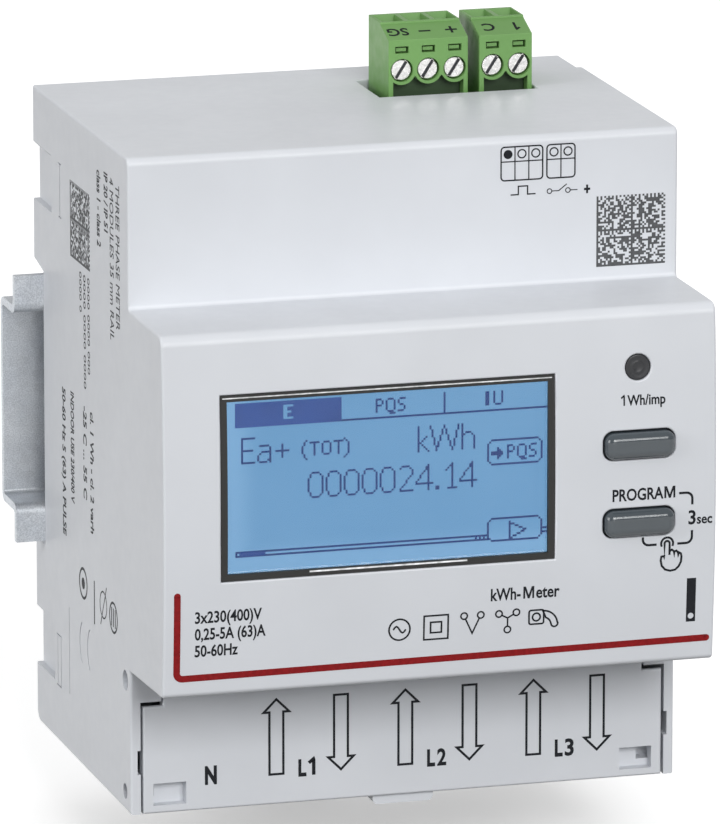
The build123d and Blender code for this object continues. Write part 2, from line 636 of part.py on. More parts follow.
def supply_transformer():
    """Small mains transformer: laminated core around a moulded bobbin."""
    front = MAIN_BOARD_FRONT - 18.0
    back = MAIN_BOARD_FRONT - 0.05
    core = block(-29.0, -7.0, front + 3.0, back - 3.0, 17.5, 35.5)
    bobbin = block(-25.5, -10.5, front, back, 20.5, 32.5)
    return core + bobbin


def capacitors():
    """Two upright capacitors on the main board."""
    cans = []
    for x, z, radius, length in ((-24.0, 2.0, 4.0, 14.0), (-14.0, -12.0, 3.2, 11.0)):
        can = rod_y(x, z, radius, MAIN_BOARD_FRONT - length, MAIN_BOARD_FRONT - 0.05)
        cans.append(fillet(can.edges().sort_by(Axis.Y)[0], 0.6))
    return Compound(cans)


def varistors():
    """Surge arrester discs, one for each phase."""
    discs = []
    for x in (0.0, 10.0, 20.0):
        disc = rod_y(x, -12.0, 4.2, MAIN_BOARD_FRONT - 5.0, MAIN_BOARD_FRONT - 1.4)
        legs = block(x - 2.8, x - 2.2, MAIN_BOARD_FRONT - 3.0, MAIN_BOARD_FRONT - 0.05, -12.3, -11.7)
        legs += block(x + 2.2, x + 2.8, MAIN_BOARD_FRONT - 3.0, MAIN_BOARD_FRONT - 0.05, -12.3, -11.7)
        discs.append(fillet(disc.edges().sort_by(Axis.Y)[0], 0.9) + legs)
    return Compound(discs)


# ---------------------------------------------------------------- plug connectors

def header(name):
    """Socket in the top of the meter that receives one plug."""
    left, count = PLUGS[name]
    right = left + WAY * count
    wall = 0.72 if name == "3way" else 0.7
    low = 30.6
    high = TOP - WALL - 0.15
    box = block(left - wall, right + wall, PLUG_FRONT - 0.85, MAIN_BOARD_FRONT - 0.05, low, high)
    box -= block(left - 0.2, right + 0.2, PLUG_FRONT - 0.2, PLUG_BACK + 0.2, low + 1.6, high + 1)
    for x in plug_ways(name):
        box -= block(x - 0.45, x + 0.45, PIN_Y - 0.45, PIN_Y + 0.45, low - 1, low + 3)
    return box


def header_pins():
    """Square pins of both sockets, bent back into the main board."""
    pins = []
    for name in PLUGS:
        for x in plug_ways(name):
            pin = block(x - 0.4, x + 0.4, PIN_Y - 0.4, PIN_Y + 0.4, 29.0, 38.4)
            pin = chamfer(pin.edges().group_by(Axis.Z)[-1], 0.2)
            pin += block(x - 0.4, x + 0.4, PIN_Y - 0.4, MAIN_BOARD_FRONT - 0.05, 29.0, 29.8)
            pins.append(pin)
    return Compound(pins)


def plug_body(name):
    """Screw plug: slanted label face, wire funnels on top, screw bores in front."""
    left, count = PLUGS[name]
    right = left + WAY * count
    body = side_profile([(PLUG_FRONT, PLUG_LOW), (PLUG_FRONT, PLUG_SHOULDER_Z), (PLUG_SLANT_Y, PLUG_TOP - 0.25),
                         (PLUG_SLANT_Y, PLUG_TOP), (PLUG_BACK, PLUG_TOP), (PLUG_BACK, PLUG_LOW)], left, right)
    body = fillet(body.edges(), 0.11)
    scallop = block(left + 0.6, right - 0.6, PLUG_FRONT - 1, PLUG_FRONT + 1.7, PLUG_LOW - 1, 43.3)
    for x in plug_ways(name):
        scallop -= rod_y(x, PLUG_SCREW_Z, 1.86, PLUG_FRONT - 2, PLUG_FRONT + 2)
    body -= scallop
    for x in plug_ways(name):
        body -= rod_y(x, PLUG_SCREW_Z, 1.5, PLUG_FRONT - 1, PLUG_FRONT + 1.45)
        body -= rod_y(x, PLUG_SCREW_Z, 1.0, PLUG_FRONT, -11.0)
        body -= block(x - 0.88, x + 0.88, PLUG_FRONT - 1, PLUG_FRONT + 1.6, 46.35, 47.25)
        body += block(x - 0.66, x + 0.66, PLUG_FRONT + 0.4, PLUG_FRONT + 1.7, 46.55, 47.0)
        body -= block(x - 1.35, x + 1.35, -11.2, -4.9, 41.6, 46.6)
        body -= block(x - 1.35, x + 1.35, -10.2, -7.2, PLUG_LOW - 1, 41.7)
        mouth = Plane((x, -6.95, PLUG_TOP)) * Rectangle(2.9, 4.5)
        throat = Plane((x, -6.95, PLUG_TOP - 2.4)) * Rectangle(1.9, 1.9)
        body -= loft([mouth, throat])
        body -= block(x - 0.95, x + 0.95, -7.9, -6.0, 46.0, PLUG_TOP - 2.3)
    return body


def plug_contacts(name):
    """Flat springs inside a plug, from its clamps down to the header pins."""
    strips = []
    for x in plug_ways(name):
        strip = block(x - 0.9, x + 0.9, STRIP_FRONT, STRIP_BACK, 34.0, 46.5)
        strip += block(x - 1.3, x + 1.3, STRIP_BACK - 0.1, -7.25, 38.6, 41.2)
        strips.append(strip)
    return Compound(strips)


def plug_screw(x):
    """Slotted clamp screw of one way, with its slot turned as the last user left it."""
    head_front = PLUG_FRONT + 0.42
    screw = rod_y(x, PLUG_SCREW_Z, 1.36, head_front, PLUG_FRONT + 1.35)
    screw = chamfer(screw.edges().sort_by(Axis.Y)[0], 0.12)
    screw += rod_y(x, PLUG_SCREW_Z, 0.92, PLUG_FRONT + 1.2, STRIP_FRONT - 0.05)
    slot = Pos(x, head_front + 0.13, PLUG_SCREW_Z) * Rot(0, -57, 0) * Box(4.0, 0.9, 0.42)
    return screw - slot


def plug_clamp(x):
    """Small rising clamp of one plug way."""
    cage = block(x - 1.25, x + 1.25, -9.9, -5.2, 42.0, 46.3)
    cage -= block(x - 0.97, x + 0.97, -9.0, -6.0, 41.0, 47.0)
    return cage - rod_y(x, PLUG_SCREW_Z, 0.97, -11.0, -8.0)


# ---------------------------------------------------------------- all nodes

def all_nodes():
    """Every sub-part by its node name."""
    nodes = {
        "main_shell": main_shell(),
        "base_plate": base_plate(),
        "din_clip": din_clip(),
        "clip_spring": clip_spring(),
        "din_rail": din_rail(),
        "terminal_carrier": terminal_carrier(),
        "phase_busbars": phase_busbars(),
        "neutral_bar": neutral_bar(),
        "current_transformers": current_transformers(),
        "terminal_cover": terminal_cover(),
        "display_bezel": display_bezel(),
        "display_window": display_window(),
        "lcd_panel": lcd_panel(),
        "lcd_backlight": lcd_backlight(),
        "led_lens": led_lens(),
        "pulse_led": pulse_led(),
        "display_board": display_board(),
        "board_screws": board_screws(),
        "tact_switches": tact_switches(),
        "main_board": main_board(),
        "link_board": link_board(),
        "board_chips": board_chips(),
        "supply_transformer": supply_transformer(),
        "capacitors": capacitors(),
        "varistors": varistors(),
        "header_pins": header_pins(),
    }
    for name, z in BUTTON_ZS.items():
        nodes[name] = button(z)
    for number, x in enumerate(terminal_xs(), start=1):
        nodes[f"terminal_cage_{number}"] = terminal_cage(x)
        nodes[f"terminal_screw_{number}"] = terminal_screw(x)
    number = 0
    for name in PLUGS:
        nodes[f"header_{name}"] = header(name)
        nodes[f"plug_{name}"] = plug_body(name)
        nodes[f"plug_contacts_{name}"] = plug_contacts(name)
        for x in plug_ways(name):
            number += 1
            nodes[f"plug_screw_{number}"] = plug_screw(x)
            nodes[f"plug_clamp_{number}"] = plug_clamp(x)
    return nodes


for node_name, shape in all_nodes().items():
    export_step(shape, f"parts/{node_name}.step")
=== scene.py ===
import json
import math
import random

import bmesh
import bpy
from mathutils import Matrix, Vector


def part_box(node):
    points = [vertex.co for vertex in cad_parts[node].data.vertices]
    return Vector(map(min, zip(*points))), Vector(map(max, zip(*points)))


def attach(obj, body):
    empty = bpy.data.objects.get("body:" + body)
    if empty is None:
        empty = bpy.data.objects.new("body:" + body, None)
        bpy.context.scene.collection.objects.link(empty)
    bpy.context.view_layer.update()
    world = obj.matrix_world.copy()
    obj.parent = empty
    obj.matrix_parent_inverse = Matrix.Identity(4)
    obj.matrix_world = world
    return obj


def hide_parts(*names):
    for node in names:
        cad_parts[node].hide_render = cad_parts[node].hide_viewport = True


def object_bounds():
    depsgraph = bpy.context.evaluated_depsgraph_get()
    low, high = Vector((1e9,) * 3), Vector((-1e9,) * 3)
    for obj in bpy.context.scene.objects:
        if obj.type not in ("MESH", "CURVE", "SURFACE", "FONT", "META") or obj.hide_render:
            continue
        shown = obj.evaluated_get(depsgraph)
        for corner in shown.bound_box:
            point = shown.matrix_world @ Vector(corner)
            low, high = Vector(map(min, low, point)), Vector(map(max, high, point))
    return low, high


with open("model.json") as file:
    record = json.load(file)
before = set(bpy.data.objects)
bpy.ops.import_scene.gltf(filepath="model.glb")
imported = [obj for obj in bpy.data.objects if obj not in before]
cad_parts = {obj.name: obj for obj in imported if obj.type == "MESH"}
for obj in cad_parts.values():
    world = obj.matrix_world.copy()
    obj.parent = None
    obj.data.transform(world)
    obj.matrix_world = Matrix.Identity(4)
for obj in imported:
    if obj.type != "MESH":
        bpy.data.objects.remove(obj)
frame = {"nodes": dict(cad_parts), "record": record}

# Smart electricity meter: materials, print, display image, lamp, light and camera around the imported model.
# Sizes are in millimetres unless a name says otherwise, and MM turns them into metres.

MM = 0.001
cad_low, cad_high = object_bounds()


def box_mm(node):
    """Lowest and highest corner of a CAD node in millimetres."""
    low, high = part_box(node)
    return [value / MM for value in low], [value / MM for value in high]


def middle_mm(node, axis):
    """Middle of a CAD node along an axis, 0 for x, 1 for y and 2 for z, in millimetres."""
    low, high = box_mm(node)
    return (low[axis] + high[axis]) / 2


# --- places taken from the frame ---
shell_low = box_mm("main_shell")[0]
bezel_low, bezel_high = box_mm("display_bezel")
pane_low = box_mm("display_window")[0]
lens_low, lens_high = box_mm("led_lens")

SIDE = shell_low[0]
FRONT = shell_low[1]
SHOULDER = box_mm("terminal_cover")[0][1]
LCD_PLANE = box_mm("lcd_panel")[0][1]
PLUG_FRONT = box_mm("plug_3way")[0][1]

# --- the crowned face, as the CAD draws it ---
NOSE_TOP = 22.15
NOSE_BOTTOM = -23.4
CROWN = 1.0
CROWN_MIDDLE = (NOSE_TOP + NOSE_BOTTOM) / 2
CROWN_RADIUS = (((NOSE_TOP - NOSE_BOTTOM) / 2) ** 2 + CROWN ** 2) / (2 * CROWN)

# --- print ---
INK_PROUD = 0.02
INK_SUNK = 0.05
FINE_LINE = 0.22
THIN_LINE = FINE_LINE * 0.9
TEXT_LINE = 0.3
BOLD = 0.022

# --- display ---
FRAME_SETBACK = 0.22
DOT = 0.2555
LCD_LEFT = -27.1
LCD_TOP = 13.45
DOT_THICK = 0.015
RIM_ACROSS = 4.5
RIM_UP = 4.0

# --- pulse lamp: its flange lies behind the shell ---
LENS_FLANGE = 0.7
LAMP_X = middle_mm("led_lens", 0)
LAMP_Z = middle_mm("led_lens", 2)
LAMP_R = (lens_high[0] - lens_low[0]) / 2 - LENS_FLANGE

# --- plugs: node, body, marks of its ways and numbers of its screws ---
PLUGS = (("plug_3way", "plug_three", ("SG", "minus", "plus"), (1, 2, 3)),
         ("plug_2way", "plug_two", ("C", "1"), (4, 5)))
MARK_HEIGHT = 1.7
SIGN_HALF = 0.78
SIGN_LINE = 0.32
RECESS_DEPTH = 1.7
RECESS_TOP = 43.25
RECESS_LOW = 35.0
RECESS_MARGIN = 0.65
SCREW_REACH = 1.9
SLOT_TURN = 57

# --- studio: places and sizes in metres, power in watts ---
FLOOR_GLOW = 0.35
FLOOR_DROP = 0.005
SKY_LEVEL = 0.56
GROUND_LEVEL = 0.0
LIGHT_TARGET = (0.0, -0.03, 0.0)
LIGHTS = (("key_light", (0.10, -1.55, 0.70), LIGHT_TARGET, (0.9, 0.7), 17.5),
          ("left_light", (-1.5, -0.35, 0.45), LIGHT_TARGET, (0.8, 0.8), 9.5),
          ("back_light", (1.1, 1.1, 0.5), LIGHT_TARGET, (0.8, 0.8), 5.0),
          ("low_light", (-0.1, -1.45, 0.02), (0.0, -0.03, -0.01), (0.7, 0.08), 0.6))
CAMERA_PLACE = (-0.32057, -1.1373, 0.27945)
CAMERA_TARGET = (-0.00213, -0.030, 0.00418)
CAMERA_LENS = 411.5


# ---- node helpers

def new_material(name):
    """A material with its node tree and its Principled shader."""
    material = bpy.data.materials.new(name)
    material.use_nodes = True
    tree = material.node_tree
    return material, tree, tree.nodes["Principled BSDF"]


def put(node, values):
    """Sets a node's sockets to values by name."""
    for name, value in values.items():
        node.inputs[name].default_value = value


def object_point(tree, stretch=(1.0, 1.0, 1.0)):
    """The point in the object's own metres, stretched along its axes."""
    coordinate = tree.nodes.new("ShaderNodeTexCoord")
    mapping = tree.nodes.new("ShaderNodeMapping")
    put(mapping, {"Scale": stretch})
    tree.links.new(coordinate.outputs["Object"], mapping.inputs["Vector"])
    return mapping.outputs["Vector"]


def noise(tree, size, detail=2.0, stretch=(1.0, 1.0, 1.0)):
    """Soft noise whose features are about size millimetres across."""
    texture = tree.nodes.new("ShaderNodeTexNoise")
    put(texture, {"Scale": 1 / (size * MM), "Detail": detail})
    tree.links.new(object_point(tree, stretch), texture.inputs["Vector"])
    return texture.outputs["Fac"]


def spangle(tree, size):
    """One grey value for each crystal of about size millimetres."""
    texture = tree.nodes.new("ShaderNodeTexVoronoi")
    put(texture, {"Scale": 1 / (size * MM)})
    tree.links.new(object_point(tree), texture.inputs["Vector"])
    return texture.outputs["Color"]


def ramp(tree, value, stops):
    """Colours along a grey value: stops are (place, (red, green, blue))."""
    node = tree.nodes.new("ShaderNodeValToRGB")
    elements = node.color_ramp.elements
    while len(elements) < len(stops):
        elements.new(0.5)
    for element, (place, colour) in zip(elements, stops):
        element.position = place
        element.color = (*colour, 1.0)
    tree.links.new(value, node.inputs["Fac"])
    return node.outputs["Color"]


def spread(tree, value, low, high):
    """A grey value stretched from its usual 0.3 to 0.7 onto low to high."""
    node = tree.nodes.new("ShaderNodeMapRange")
    put(node, {"From Min": 0.3, "From Max": 0.7, "To Min": low, "To Max": high})
    tree.links.new(value, node.inputs["Value"])
    return node.outputs["Result"]


def bump(tree, height, depth, below=None):
    """Bump of a depth in millimetres, laid over another one if given."""
    node = tree.nodes.new("ShaderNodeBump")
    put(node, {"Strength": 1.0, "Distance": depth * MM})
    tree.links.new(height, node.inputs["Height"])
    if below is not None:
        tree.links.new(below, node.inputs["Normal"])
    return node.outputs["Normal"]


def shade(colour, factor):
    """The same colour, lighter or darker."""
    return tuple(min(1.0, channel * factor) for channel in colour)


def vary_colour(tree, socket, size, detail, first, last):
    """Mottles a colour socket between two colours, in patches of about size millimetres."""
    tree.links.new(ramp(tree, noise(tree, size, detail), [(0.3, first), (0.7, last)]), socket)


def vary_gloss(tree, shader, size, detail, low, high):
    """Lets the roughness wander between two values, in patches of about size millimetres."""
    tree.links.new(spread(tree, noise(tree, size, detail), low, high), shader.inputs["Roughness"])


# ---- materials

def moulded(name, colour, rough=(0.36, 0.46), blotch=0.03, grain=0.004, wave=0.02, gloss=0.5):
    """Injection-moulded plastic: faint blotches, fine spark-eroded grain and slow waviness."""
    material, tree, shader = new_material(name)
    patches = noise(tree, 14.0, 3.0)
    stops = [(0.3, shade(colour, 1 - blotch)), (0.55, colour), (0.75, shade(colour, 1 + blotch))]
    tree.links.new(ramp(tree, patches, stops), shader.inputs["Base Color"])
    vary_gloss(tree, shader, 1.6, 3.0, *rough)
    waves = bump(tree, noise(tree, 9.0, 1.0), wave)
    tree.links.new(bump(tree, noise(tree, 0.22, 2.0), grain, waves), shader.inputs["Normal"])
    put(shader, {"IOR": 1.5, "Specular IOR Level": gloss})
    return material


def metal(name, colour, rough, grain_size, contrast=0.12, grain=0.004, stretch=(1.0, 1.0, 1.0)):
    """Plated or bare metal with a fine grain that varies its colour and gloss."""
    material, tree, shader = new_material(name)
    fine = noise(tree, grain_size, 4.0, stretch)
    stops = [(0.3, shade(colour, 1 - contrast)), (0.7, shade(colour, 1 + contrast))]
    tree.links.new(ramp(tree, fine, stops), shader.inputs["Base Color"])
    vary_gloss(tree, shader, grain_size * 4, 3.0, *rough)
    tree.links.new(bump(tree, fine, grain), shader.inputs["Normal"])
    put(shader, {"Metallic": 1.0})
    return material


def galvanised(name, colour):
    """Zinc-coated steel: a fine bright speckle over faint crystals under a dull bloom."""
    material, tree, shader = new_material(name)
    crystals = ramp(tree, spangle(tree, 0.9), [(0.0, shade(colour, 0.94)), (1.0, shade(colour, 1.05))])
    speckle = ramp(tree, noise(tree, 0.16, 3.0), [(0.36, (0.72, 0.73, 0.75)), (0.62, (1.0, 1.0, 1.0))])
    bloom = ramp(tree, noise(tree, 5.0, 4.0), [(0.35, (0.90, 0.91, 0.93)), (0.65, (1.0, 1.0, 1.0))])
    colours = crystals
    for layer in (speckle, bloom):
        mix = tree.nodes.new("ShaderNodeMixRGB")
        mix.blend_type = "MULTIPLY"
        put(mix, {"Fac": 1.0})
        tree.links.new(colours, mix.inputs["Color1"])
        tree.links.new(layer, mix.inputs["Color2"])
        colours = mix.outputs["Color"]
    tree.links.new(colours, shader.inputs["Base Color"])
    vary_gloss(tree, shader, 0.3, 3.0, 0.36, 0.55)
    tree.links.new(bump(tree, noise(tree, 0.18, 3.0), 0.012), shader.inputs["Normal"])
    put(shader, {"Metallic": 0.8})
    return material


def ink(name, colour):
    """Pad-printed ink: thin, nearly matt, a little uneven."""
    material, tree, shader = new_material(name)
    vary_colour(tree, shader.inputs["Base Color"], 0.5, 3.0, shade(colour, 0.85), shade(colour, 1.2))
    vary_gloss(tree, shader, 0.3, 2.0, 0.5, 0.65)
    tree.links.new(bump(tree, noise(tree, 0.15, 2.0), 0.003), shader.inputs["Normal"])
    put(shader, {"Specular IOR Level": 0.15})
    return material


def lit_glass(name, colour, edge, strength):
    """Backlit liquid crystal field, a little cloudy and brighter towards its left and lower rim."""
    material, tree, shader = new_material(name)
    place = tree.nodes.new("ShaderNodeSeparateXYZ")
    tree.links.new(object_point(tree), place.inputs["Vector"])
    rims = []
    for axis, start, reach in (("X", pane_low[0], RIM_ACROSS), ("Z", pane_low[2], RIM_UP)):
        node = tree.nodes.new("ShaderNodeMapRange")
        node.interpolation_type = "SMOOTHSTEP"
        put(node, {"From Min": start * MM, "From Max": (start + reach) * MM, "To Min": 1.0,
                   "To Max": 0.0})
        tree.links.new(place.outputs[axis], node.inputs["Value"])
        rims.append(node.outputs["Result"])
    rim = tree.nodes.new("ShaderNodeMath")
    rim.operation = "MAXIMUM"
    tree.links.new(rims[0], rim.inputs[0])
    tree.links.new(rims[1], rim.inputs[1])
    cloudy = tree.nodes.new("ShaderNodeMath")
    cloudy.operation = "MULTIPLY_ADD"
    tree.links.new(noise(tree, 16.0, 2.0), cloudy.inputs[0])
    cloudy.inputs[1].default_value = 0.5
    tree.links.new(rim.outputs["Value"], cloudy.inputs[2])
    field = ramp(tree, cloudy.outputs["Value"], [(0.15, colour), (1.0, edge)])
    tree.links.new(field, shader.inputs["Emission Color"])
    put(shader, {"Emission Strength": strength})
    vary_colour(tree, shader.inputs["Base Color"], 0.3, 1.0, (0.008, 0.014, 0.02), (0.012, 0.02, 0.03))
    put(shader, {"Roughness": 0.6, "Specular IOR Level": 0.0})
    return material


def display_dots(name, colour, strength):
    """Dark liquid crystal dots, with a little of the backlight leaking through."""
    material, tree, shader = new_material(name)
    vary_colour(tree, shader.inputs["Emission Color"], 6.0, 2.0, shade(colour, 0.9), shade(colour, 1.15))
    put(shader, {"Emission Strength": strength})
    vary_colour(tree, shader.inputs["Base Color"], 0.5, 1.0, (0.01, 0.015, 0.03), (0.015, 0.02, 0.04))
    put(shader, {"Roughness": 0.6, "Specular IOR Level": 0.0})
    return material


def clear_pane(name):
    """Polished clear plastic with the faintest unevenness."""
    material, tree, shader = new_material(name)
    vary_colour(tree, shader.inputs["Base Color"], 20.0, 1.0, (0.96, 0.98, 1.0), (0.98, 0.99, 1.0))
    vary_gloss(tree, shader, 4.0, 2.0, 0.03, 0.07)
    put(shader, {"Transmission Weight": 1.0, "IOR": 1.08, "Coat Weight": 0.25, "Coat Roughness": 0.05})
    return material


def circuit_board(name, colour):
    """Solder resist over copper tracks that show as slightly lighter lines."""
    material, tree, shader = new_material(name)
    tracks = tree.nodes.new("ShaderNodeTexBrick")
    put(tracks, {"Scale": 260.0, "Mortar Size": 0.03, "Color1": (*colour, 1.0),
                 "Color2": (*shade(colour, 1.2), 1.0), "Mortar": (*shade(colour, 1.9), 1.0)})
    turn = tree.nodes.new("ShaderNodeMapping")
    put(turn, {"Rotation": (math.radians(90), 0.0, 0.0)})
    tree.links.new(object_point(tree), turn.inputs["Vector"])
    tree.links.new(turn.outputs["Vector"], tracks.inputs["Vector"])
    tree.links.new(tracks.outputs["Color"], shader.inputs["Base Color"])
    vary_gloss(tree, shader, 0.8, 2.0, 0.25, 0.4)
    tree.links.new(bump(tree, noise(tree, 0.5, 2.0), 0.01), shader.inputs["Normal"])
    return material


SHELL_COLOUR = (0.642, 0.662, 0.698)
DARK_INK = (0.009, 0.010, 0.013)
CODE_INK = (0.085, 0.088, 0.092)
RED_INK = (0.225, 0.009, 0.011)

slot_materials = {
    "housing": moulded("housing_plastic", SHELL_COLOUR),
    "cover": moulded("cover_plastic", SHELL_COLOUR),
    "base": moulded("base_plastic", shade(SHELL_COLOUR, 0.96)),
    "clip": moulded("clip_plastic", (0.62, 0.64, 0.67), grain=0.006),
    "rail": galvanised("rail_zinc", (0.70, 0.725, 0.75)),
    "spring": metal("spring_wire", (0.60, 0.60, 0.61), (0.2, 0.35), 0.1),
    "carrier": moulded("carrier_plastic", (0.07, 0.075, 0.08), grain=0.01),
    "cage": metal("cage_zinc", (0.60, 0.60, 0.58), (0.3, 0.5), 0.4),
    "screw": metal("screw_zinc", (0.72, 0.71, 0.69), (0.22, 0.42), 0.25, contrast=0.2, grain=0.008),
    "busbar": metal("busbar_copper", (0.72, 0.42, 0.28), (0.25, 0.4), 0.5, stretch=(1.0, 1.0, 0.1)),
    "core": moulded("core_resin", (0.02, 0.02, 0.025)),
    "board": circuit_board("board_resist", (0.02, 0.11, 0.05)),
    "chip": moulded("chip_resin", (0.012, 0.012, 0.014), rough=(0.5, 0.6)),
    "transformer": moulded("transformer_varnish", (0.05, 0.045, 0.04), blotch=0.2),
    "capacitor": moulded("capacitor_sleeve", (0.01, 0.015, 0.05), rough=(0.2, 0.3)),
    "varistor": moulded("varistor_epoxy", (0.02, 0.10, 0.30), rough=(0.25, 0.35)),
    "window": clear_pane("display_pane"),
    "lcd": lit_glass("display_field", (0.128, 0.300, 0.515), (0.186, 0.375, 0.600), 1.0),
    "backlight": moulded("backlight_guide", (0.75, 0.80, 0.85), rough=(0.2, 0.3)),
    "bezel": moulded("bezel_plastic", (0.018, 0.018, 0.017), rough=(0.34, 0.5), grain=0.006,
                     wave=0.03, gloss=0.3),
    "lens": moulded("lamp_lens_plastic", (0.026, 0.027, 0.030), rough=(0.28, 0.4), grain=0.002, gloss=0.35),
    "led": moulded("led_resin", (0.35, 0.02, 0.02), rough=(0.15, 0.25)),
    "switch": moulded("switch_plastic", (0.02, 0.02, 0.02)),
    "button": moulded("button_plastic", (0.050, 0.064, 0.075), rough=(0.10, 0.18), blotch=0.1, grain=0.004,
                      wave=0.008, gloss=0.7),
    "plug": moulded("plug_plastic", (0.138, 0.300, 0.082), rough=(0.38, 0.5), blotch=0.08, wave=0.03),
    "socket": moulded("socket_plastic", (0.030, 0.075, 0.026), rough=(0.35, 0.45)),
    "contact": metal("contact_tin", (0.72, 0.68, 0.58), (0.2, 0.35), 0.3),
}

for row in frame["record"]["subparts"]:
    for place in frame["nodes"][row["node"]].material_slots:
        place.material = slot_materials[row["material_slot"]]


# ---- places for print

def on_face(across, up, height):
    """A point on the crowned front face."""
    rise = up - CROWN_MIDDLE
    depth = FRONT + CROWN_RADIUS - math.sqrt(CROWN_RADIUS ** 2 - rise ** 2)
    return Vector((across, depth - height, up)) * MM


def on_shoulder(across, up, height):
    """A point on the flat shoulder above the nose, or on the closed cover, which lies in the same plane."""
    return Vector((across, SHOULDER - height, up)) * MM


def on_side(across, up, height):
    """A point on the left side: across runs from the rail towards the front."""
    return Vector((SIDE - height, -across, up)) * MM


def on_lcd(across, up, height):
    """A point on the image plane of the display."""
    return Vector((across, LCD_PLANE - height, up)) * MM


# ---- print helpers

class Print:
    """Thin closed solids of ink, collected on one surface and then made into one piece."""

    def __init__(self, surface, proud=INK_PROUD, sunk=INK_SUNK):
        self.surface = surface
        self.proud = proud
        self.sunk = sunk
        self.mesh = bmesh.new()

    def corners(self, points):
        """Front and back vertices of each point."""
        front = [self.mesh.verts.new(self.surface(a, u, self.proud)) for a, u in points]
        back = [self.mesh.verts.new(self.surface(a, u, -self.sunk)) for a, u in points]
        return front, back

    def patch(self, points):
        """A filled outline."""
        front, back = self.corners(points)
        self.mesh.faces.new(front)
        self.mesh.faces.new(back[::-1])
        for i in range(len(points)):
            j = (i + 1) % len(points)
            self.mesh.faces.new((front[j], front[i], back[i], back[j]))

    def curtain(self, points, low):
        """A field that hangs from a line of points down to a level."""
        top_front, top_back = self.corners(points)
        low_front, low_back = self.corners([(across, low) for across, up in points])
        for i in range(len(points) - 1):
            j = i + 1
            self.mesh.faces.new((low_front[i], low_front[j], top_front[j], top_front[i]))
            self.mesh.faces.new((top_back[i], top_back[j], low_back[j], low_back[i]))
            self.mesh.faces.new((top_front[i], top_front[j], top_back[j], top_back[i]))
            self.mesh.faces.new((low_front[j], low_front[i], low_back[i], low_back[j]))
        for i in (0, -1):
            self.mesh.faces.new((top_front[i], low_front[i], low_back[i], top_back[i]))

    def block(self, left, right, low, high):
        """A filled rectangle."""
        self.patch([(left, low), (right, low), (right, high), (left, high)])

    def disc(self, across, up, radius, steps=24):
        """A filled circle."""
        self.patch(circle(across, up, radius, steps))

    def line(self, points, width, closed=False):
        """A line of even width through the points, with mitred corners."""
        left, right = offset_sides(points, width / 2, closed)
        lf, lb = self.corners(left)
        rf, rb = self.corners(right)
        count = len(points)
        for i in range(count if closed else count - 1):
            j = (i + 1) % count
            self.mesh.faces.new((lf[i], lf[j], rf[j], rf[i]))
            self.mesh.faces.new((lb[j], lb[i], rb[i], rb[j]))
            self.mesh.faces.new((lf[j], lf[i], lb[i], lb[j]))
            self.mesh.faces.new((rf[i], rf[j], rb[j], rb[i]))
        if not closed:
            self.mesh.faces.new((lf[0], rf[0], rb[0], lb[0]))
            self.mesh.faces.new((rf[-1], lf[-1], lb[-1], rb[-1]))

    def ring(self, across, up, radius, width, steps=28):
        """A circle drawn as a line."""
        self.line(circle(across, up, radius, steps), width, closed=True)

    def text(self, words, across, up, height, width=None, turn=0, bold=0.0, middle=False):
        """Words whose capitals are so high, squeezed to a width, starting at (or centred on) a place."""
        if "M" in words:
            # the built-in face's M clogs when its outline is thickened
            bold = 0.0
        mesh, natural, capital = text_mesh(words, bold)
        tall = height / capital
        wide = tall if width is None else width / natural
        start = -natural * wide / 2 if middle else 0.0
        flat = [(start + vertex.co.x * wide, vertex.co.y * tall) for vertex in mesh.vertices]
        for vertex, (a, u) in zip(mesh.vertices, turned(flat, across, up, turn)):
            vertex.co = self.surface(a, u, self.proud if vertex.co.z > 0 else -self.sunk)
        self.mesh.from_mesh(mesh)
        bpy.data.meshes.remove(mesh)

    def one(self, across, up, height, width, turn=0):
        """The numeral one with its flag, its stem standing at a place."""
        shape = [(-0.3 * height, 0.74 * height), (-0.02 * height, 0.96 * height), (0.0, 0.9 * height),
                 (0.0, 0.0)]
        self.line(turned(shape, across, up, turn), width)

    def capital_m(self, across, up, height, width, stem):
        """A capital M whose left stem starts at a place."""
        middle = width / 2
        half = stem / 2
        shape = [(0.0, 0.0), (stem, 0.0), (stem, height * 0.68), (middle - half, 0.0), (middle + half, 0.0),
                 (width - stem, height * 0.68), (width - stem, 0.0), (width, 0.0), (width, height),
                 (width - stem * 1.3, height), (middle, height * 0.3), (stem * 1.3, height), (0.0, height)]
        self.patch([(across + x, up + y) for x, y in shape])

    def finish(self, name, material, body):
        """Turns the solids into a piece that rides on a body."""
        bmesh.ops.remove_doubles(self.mesh, verts=self.mesh.verts, dist=1e-7)
        bmesh.ops.recalc_face_normals(self.mesh, faces=self.mesh.faces)
        return piece(name, self.mesh, material, body)


def add_object(name, data):
    """A new object in the scene, with a mesh, letters, a light or a camera as its data."""
    thing = bpy.data.objects.new(name, data)
    bpy.context.scene.collection.objects.link(thing)
    return thing


def piece(name, mesh, material, body):
    """A bmesh as a named object that rides on a body."""
    data = bpy.data.meshes.new(name)
    mesh.to_mesh(data)
    mesh.free()
    data.materials.append(material)
    thing = add_object(name, data)
    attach(thing, body)
    return thing


def loft(mesh, rings):
    """Makes one closed solid from rings of vertices that all have as many corners."""
    mesh.faces.new(rings[0])
    mesh.faces.new(rings[-1][::-1])
    for near, far in zip(rings, rings[1:]):
        for i in range(len(near)):
            j = (i + 1) % len(near)
            mesh.faces.new((near[j], near[i], far[i], far[j]))
    bmesh.ops.recalc_face_normals(mesh, faces=mesh.faces)


def turned(points, across, up, turn):
    """Points turned by an angle in degrees about nought and then moved to a place."""
    cos, sin = math.cos(math.radians(turn)), math.sin(math.radians(turn))
    return [(across + x * cos - y * sin, up + x * sin + y * cos) for x, y in points]


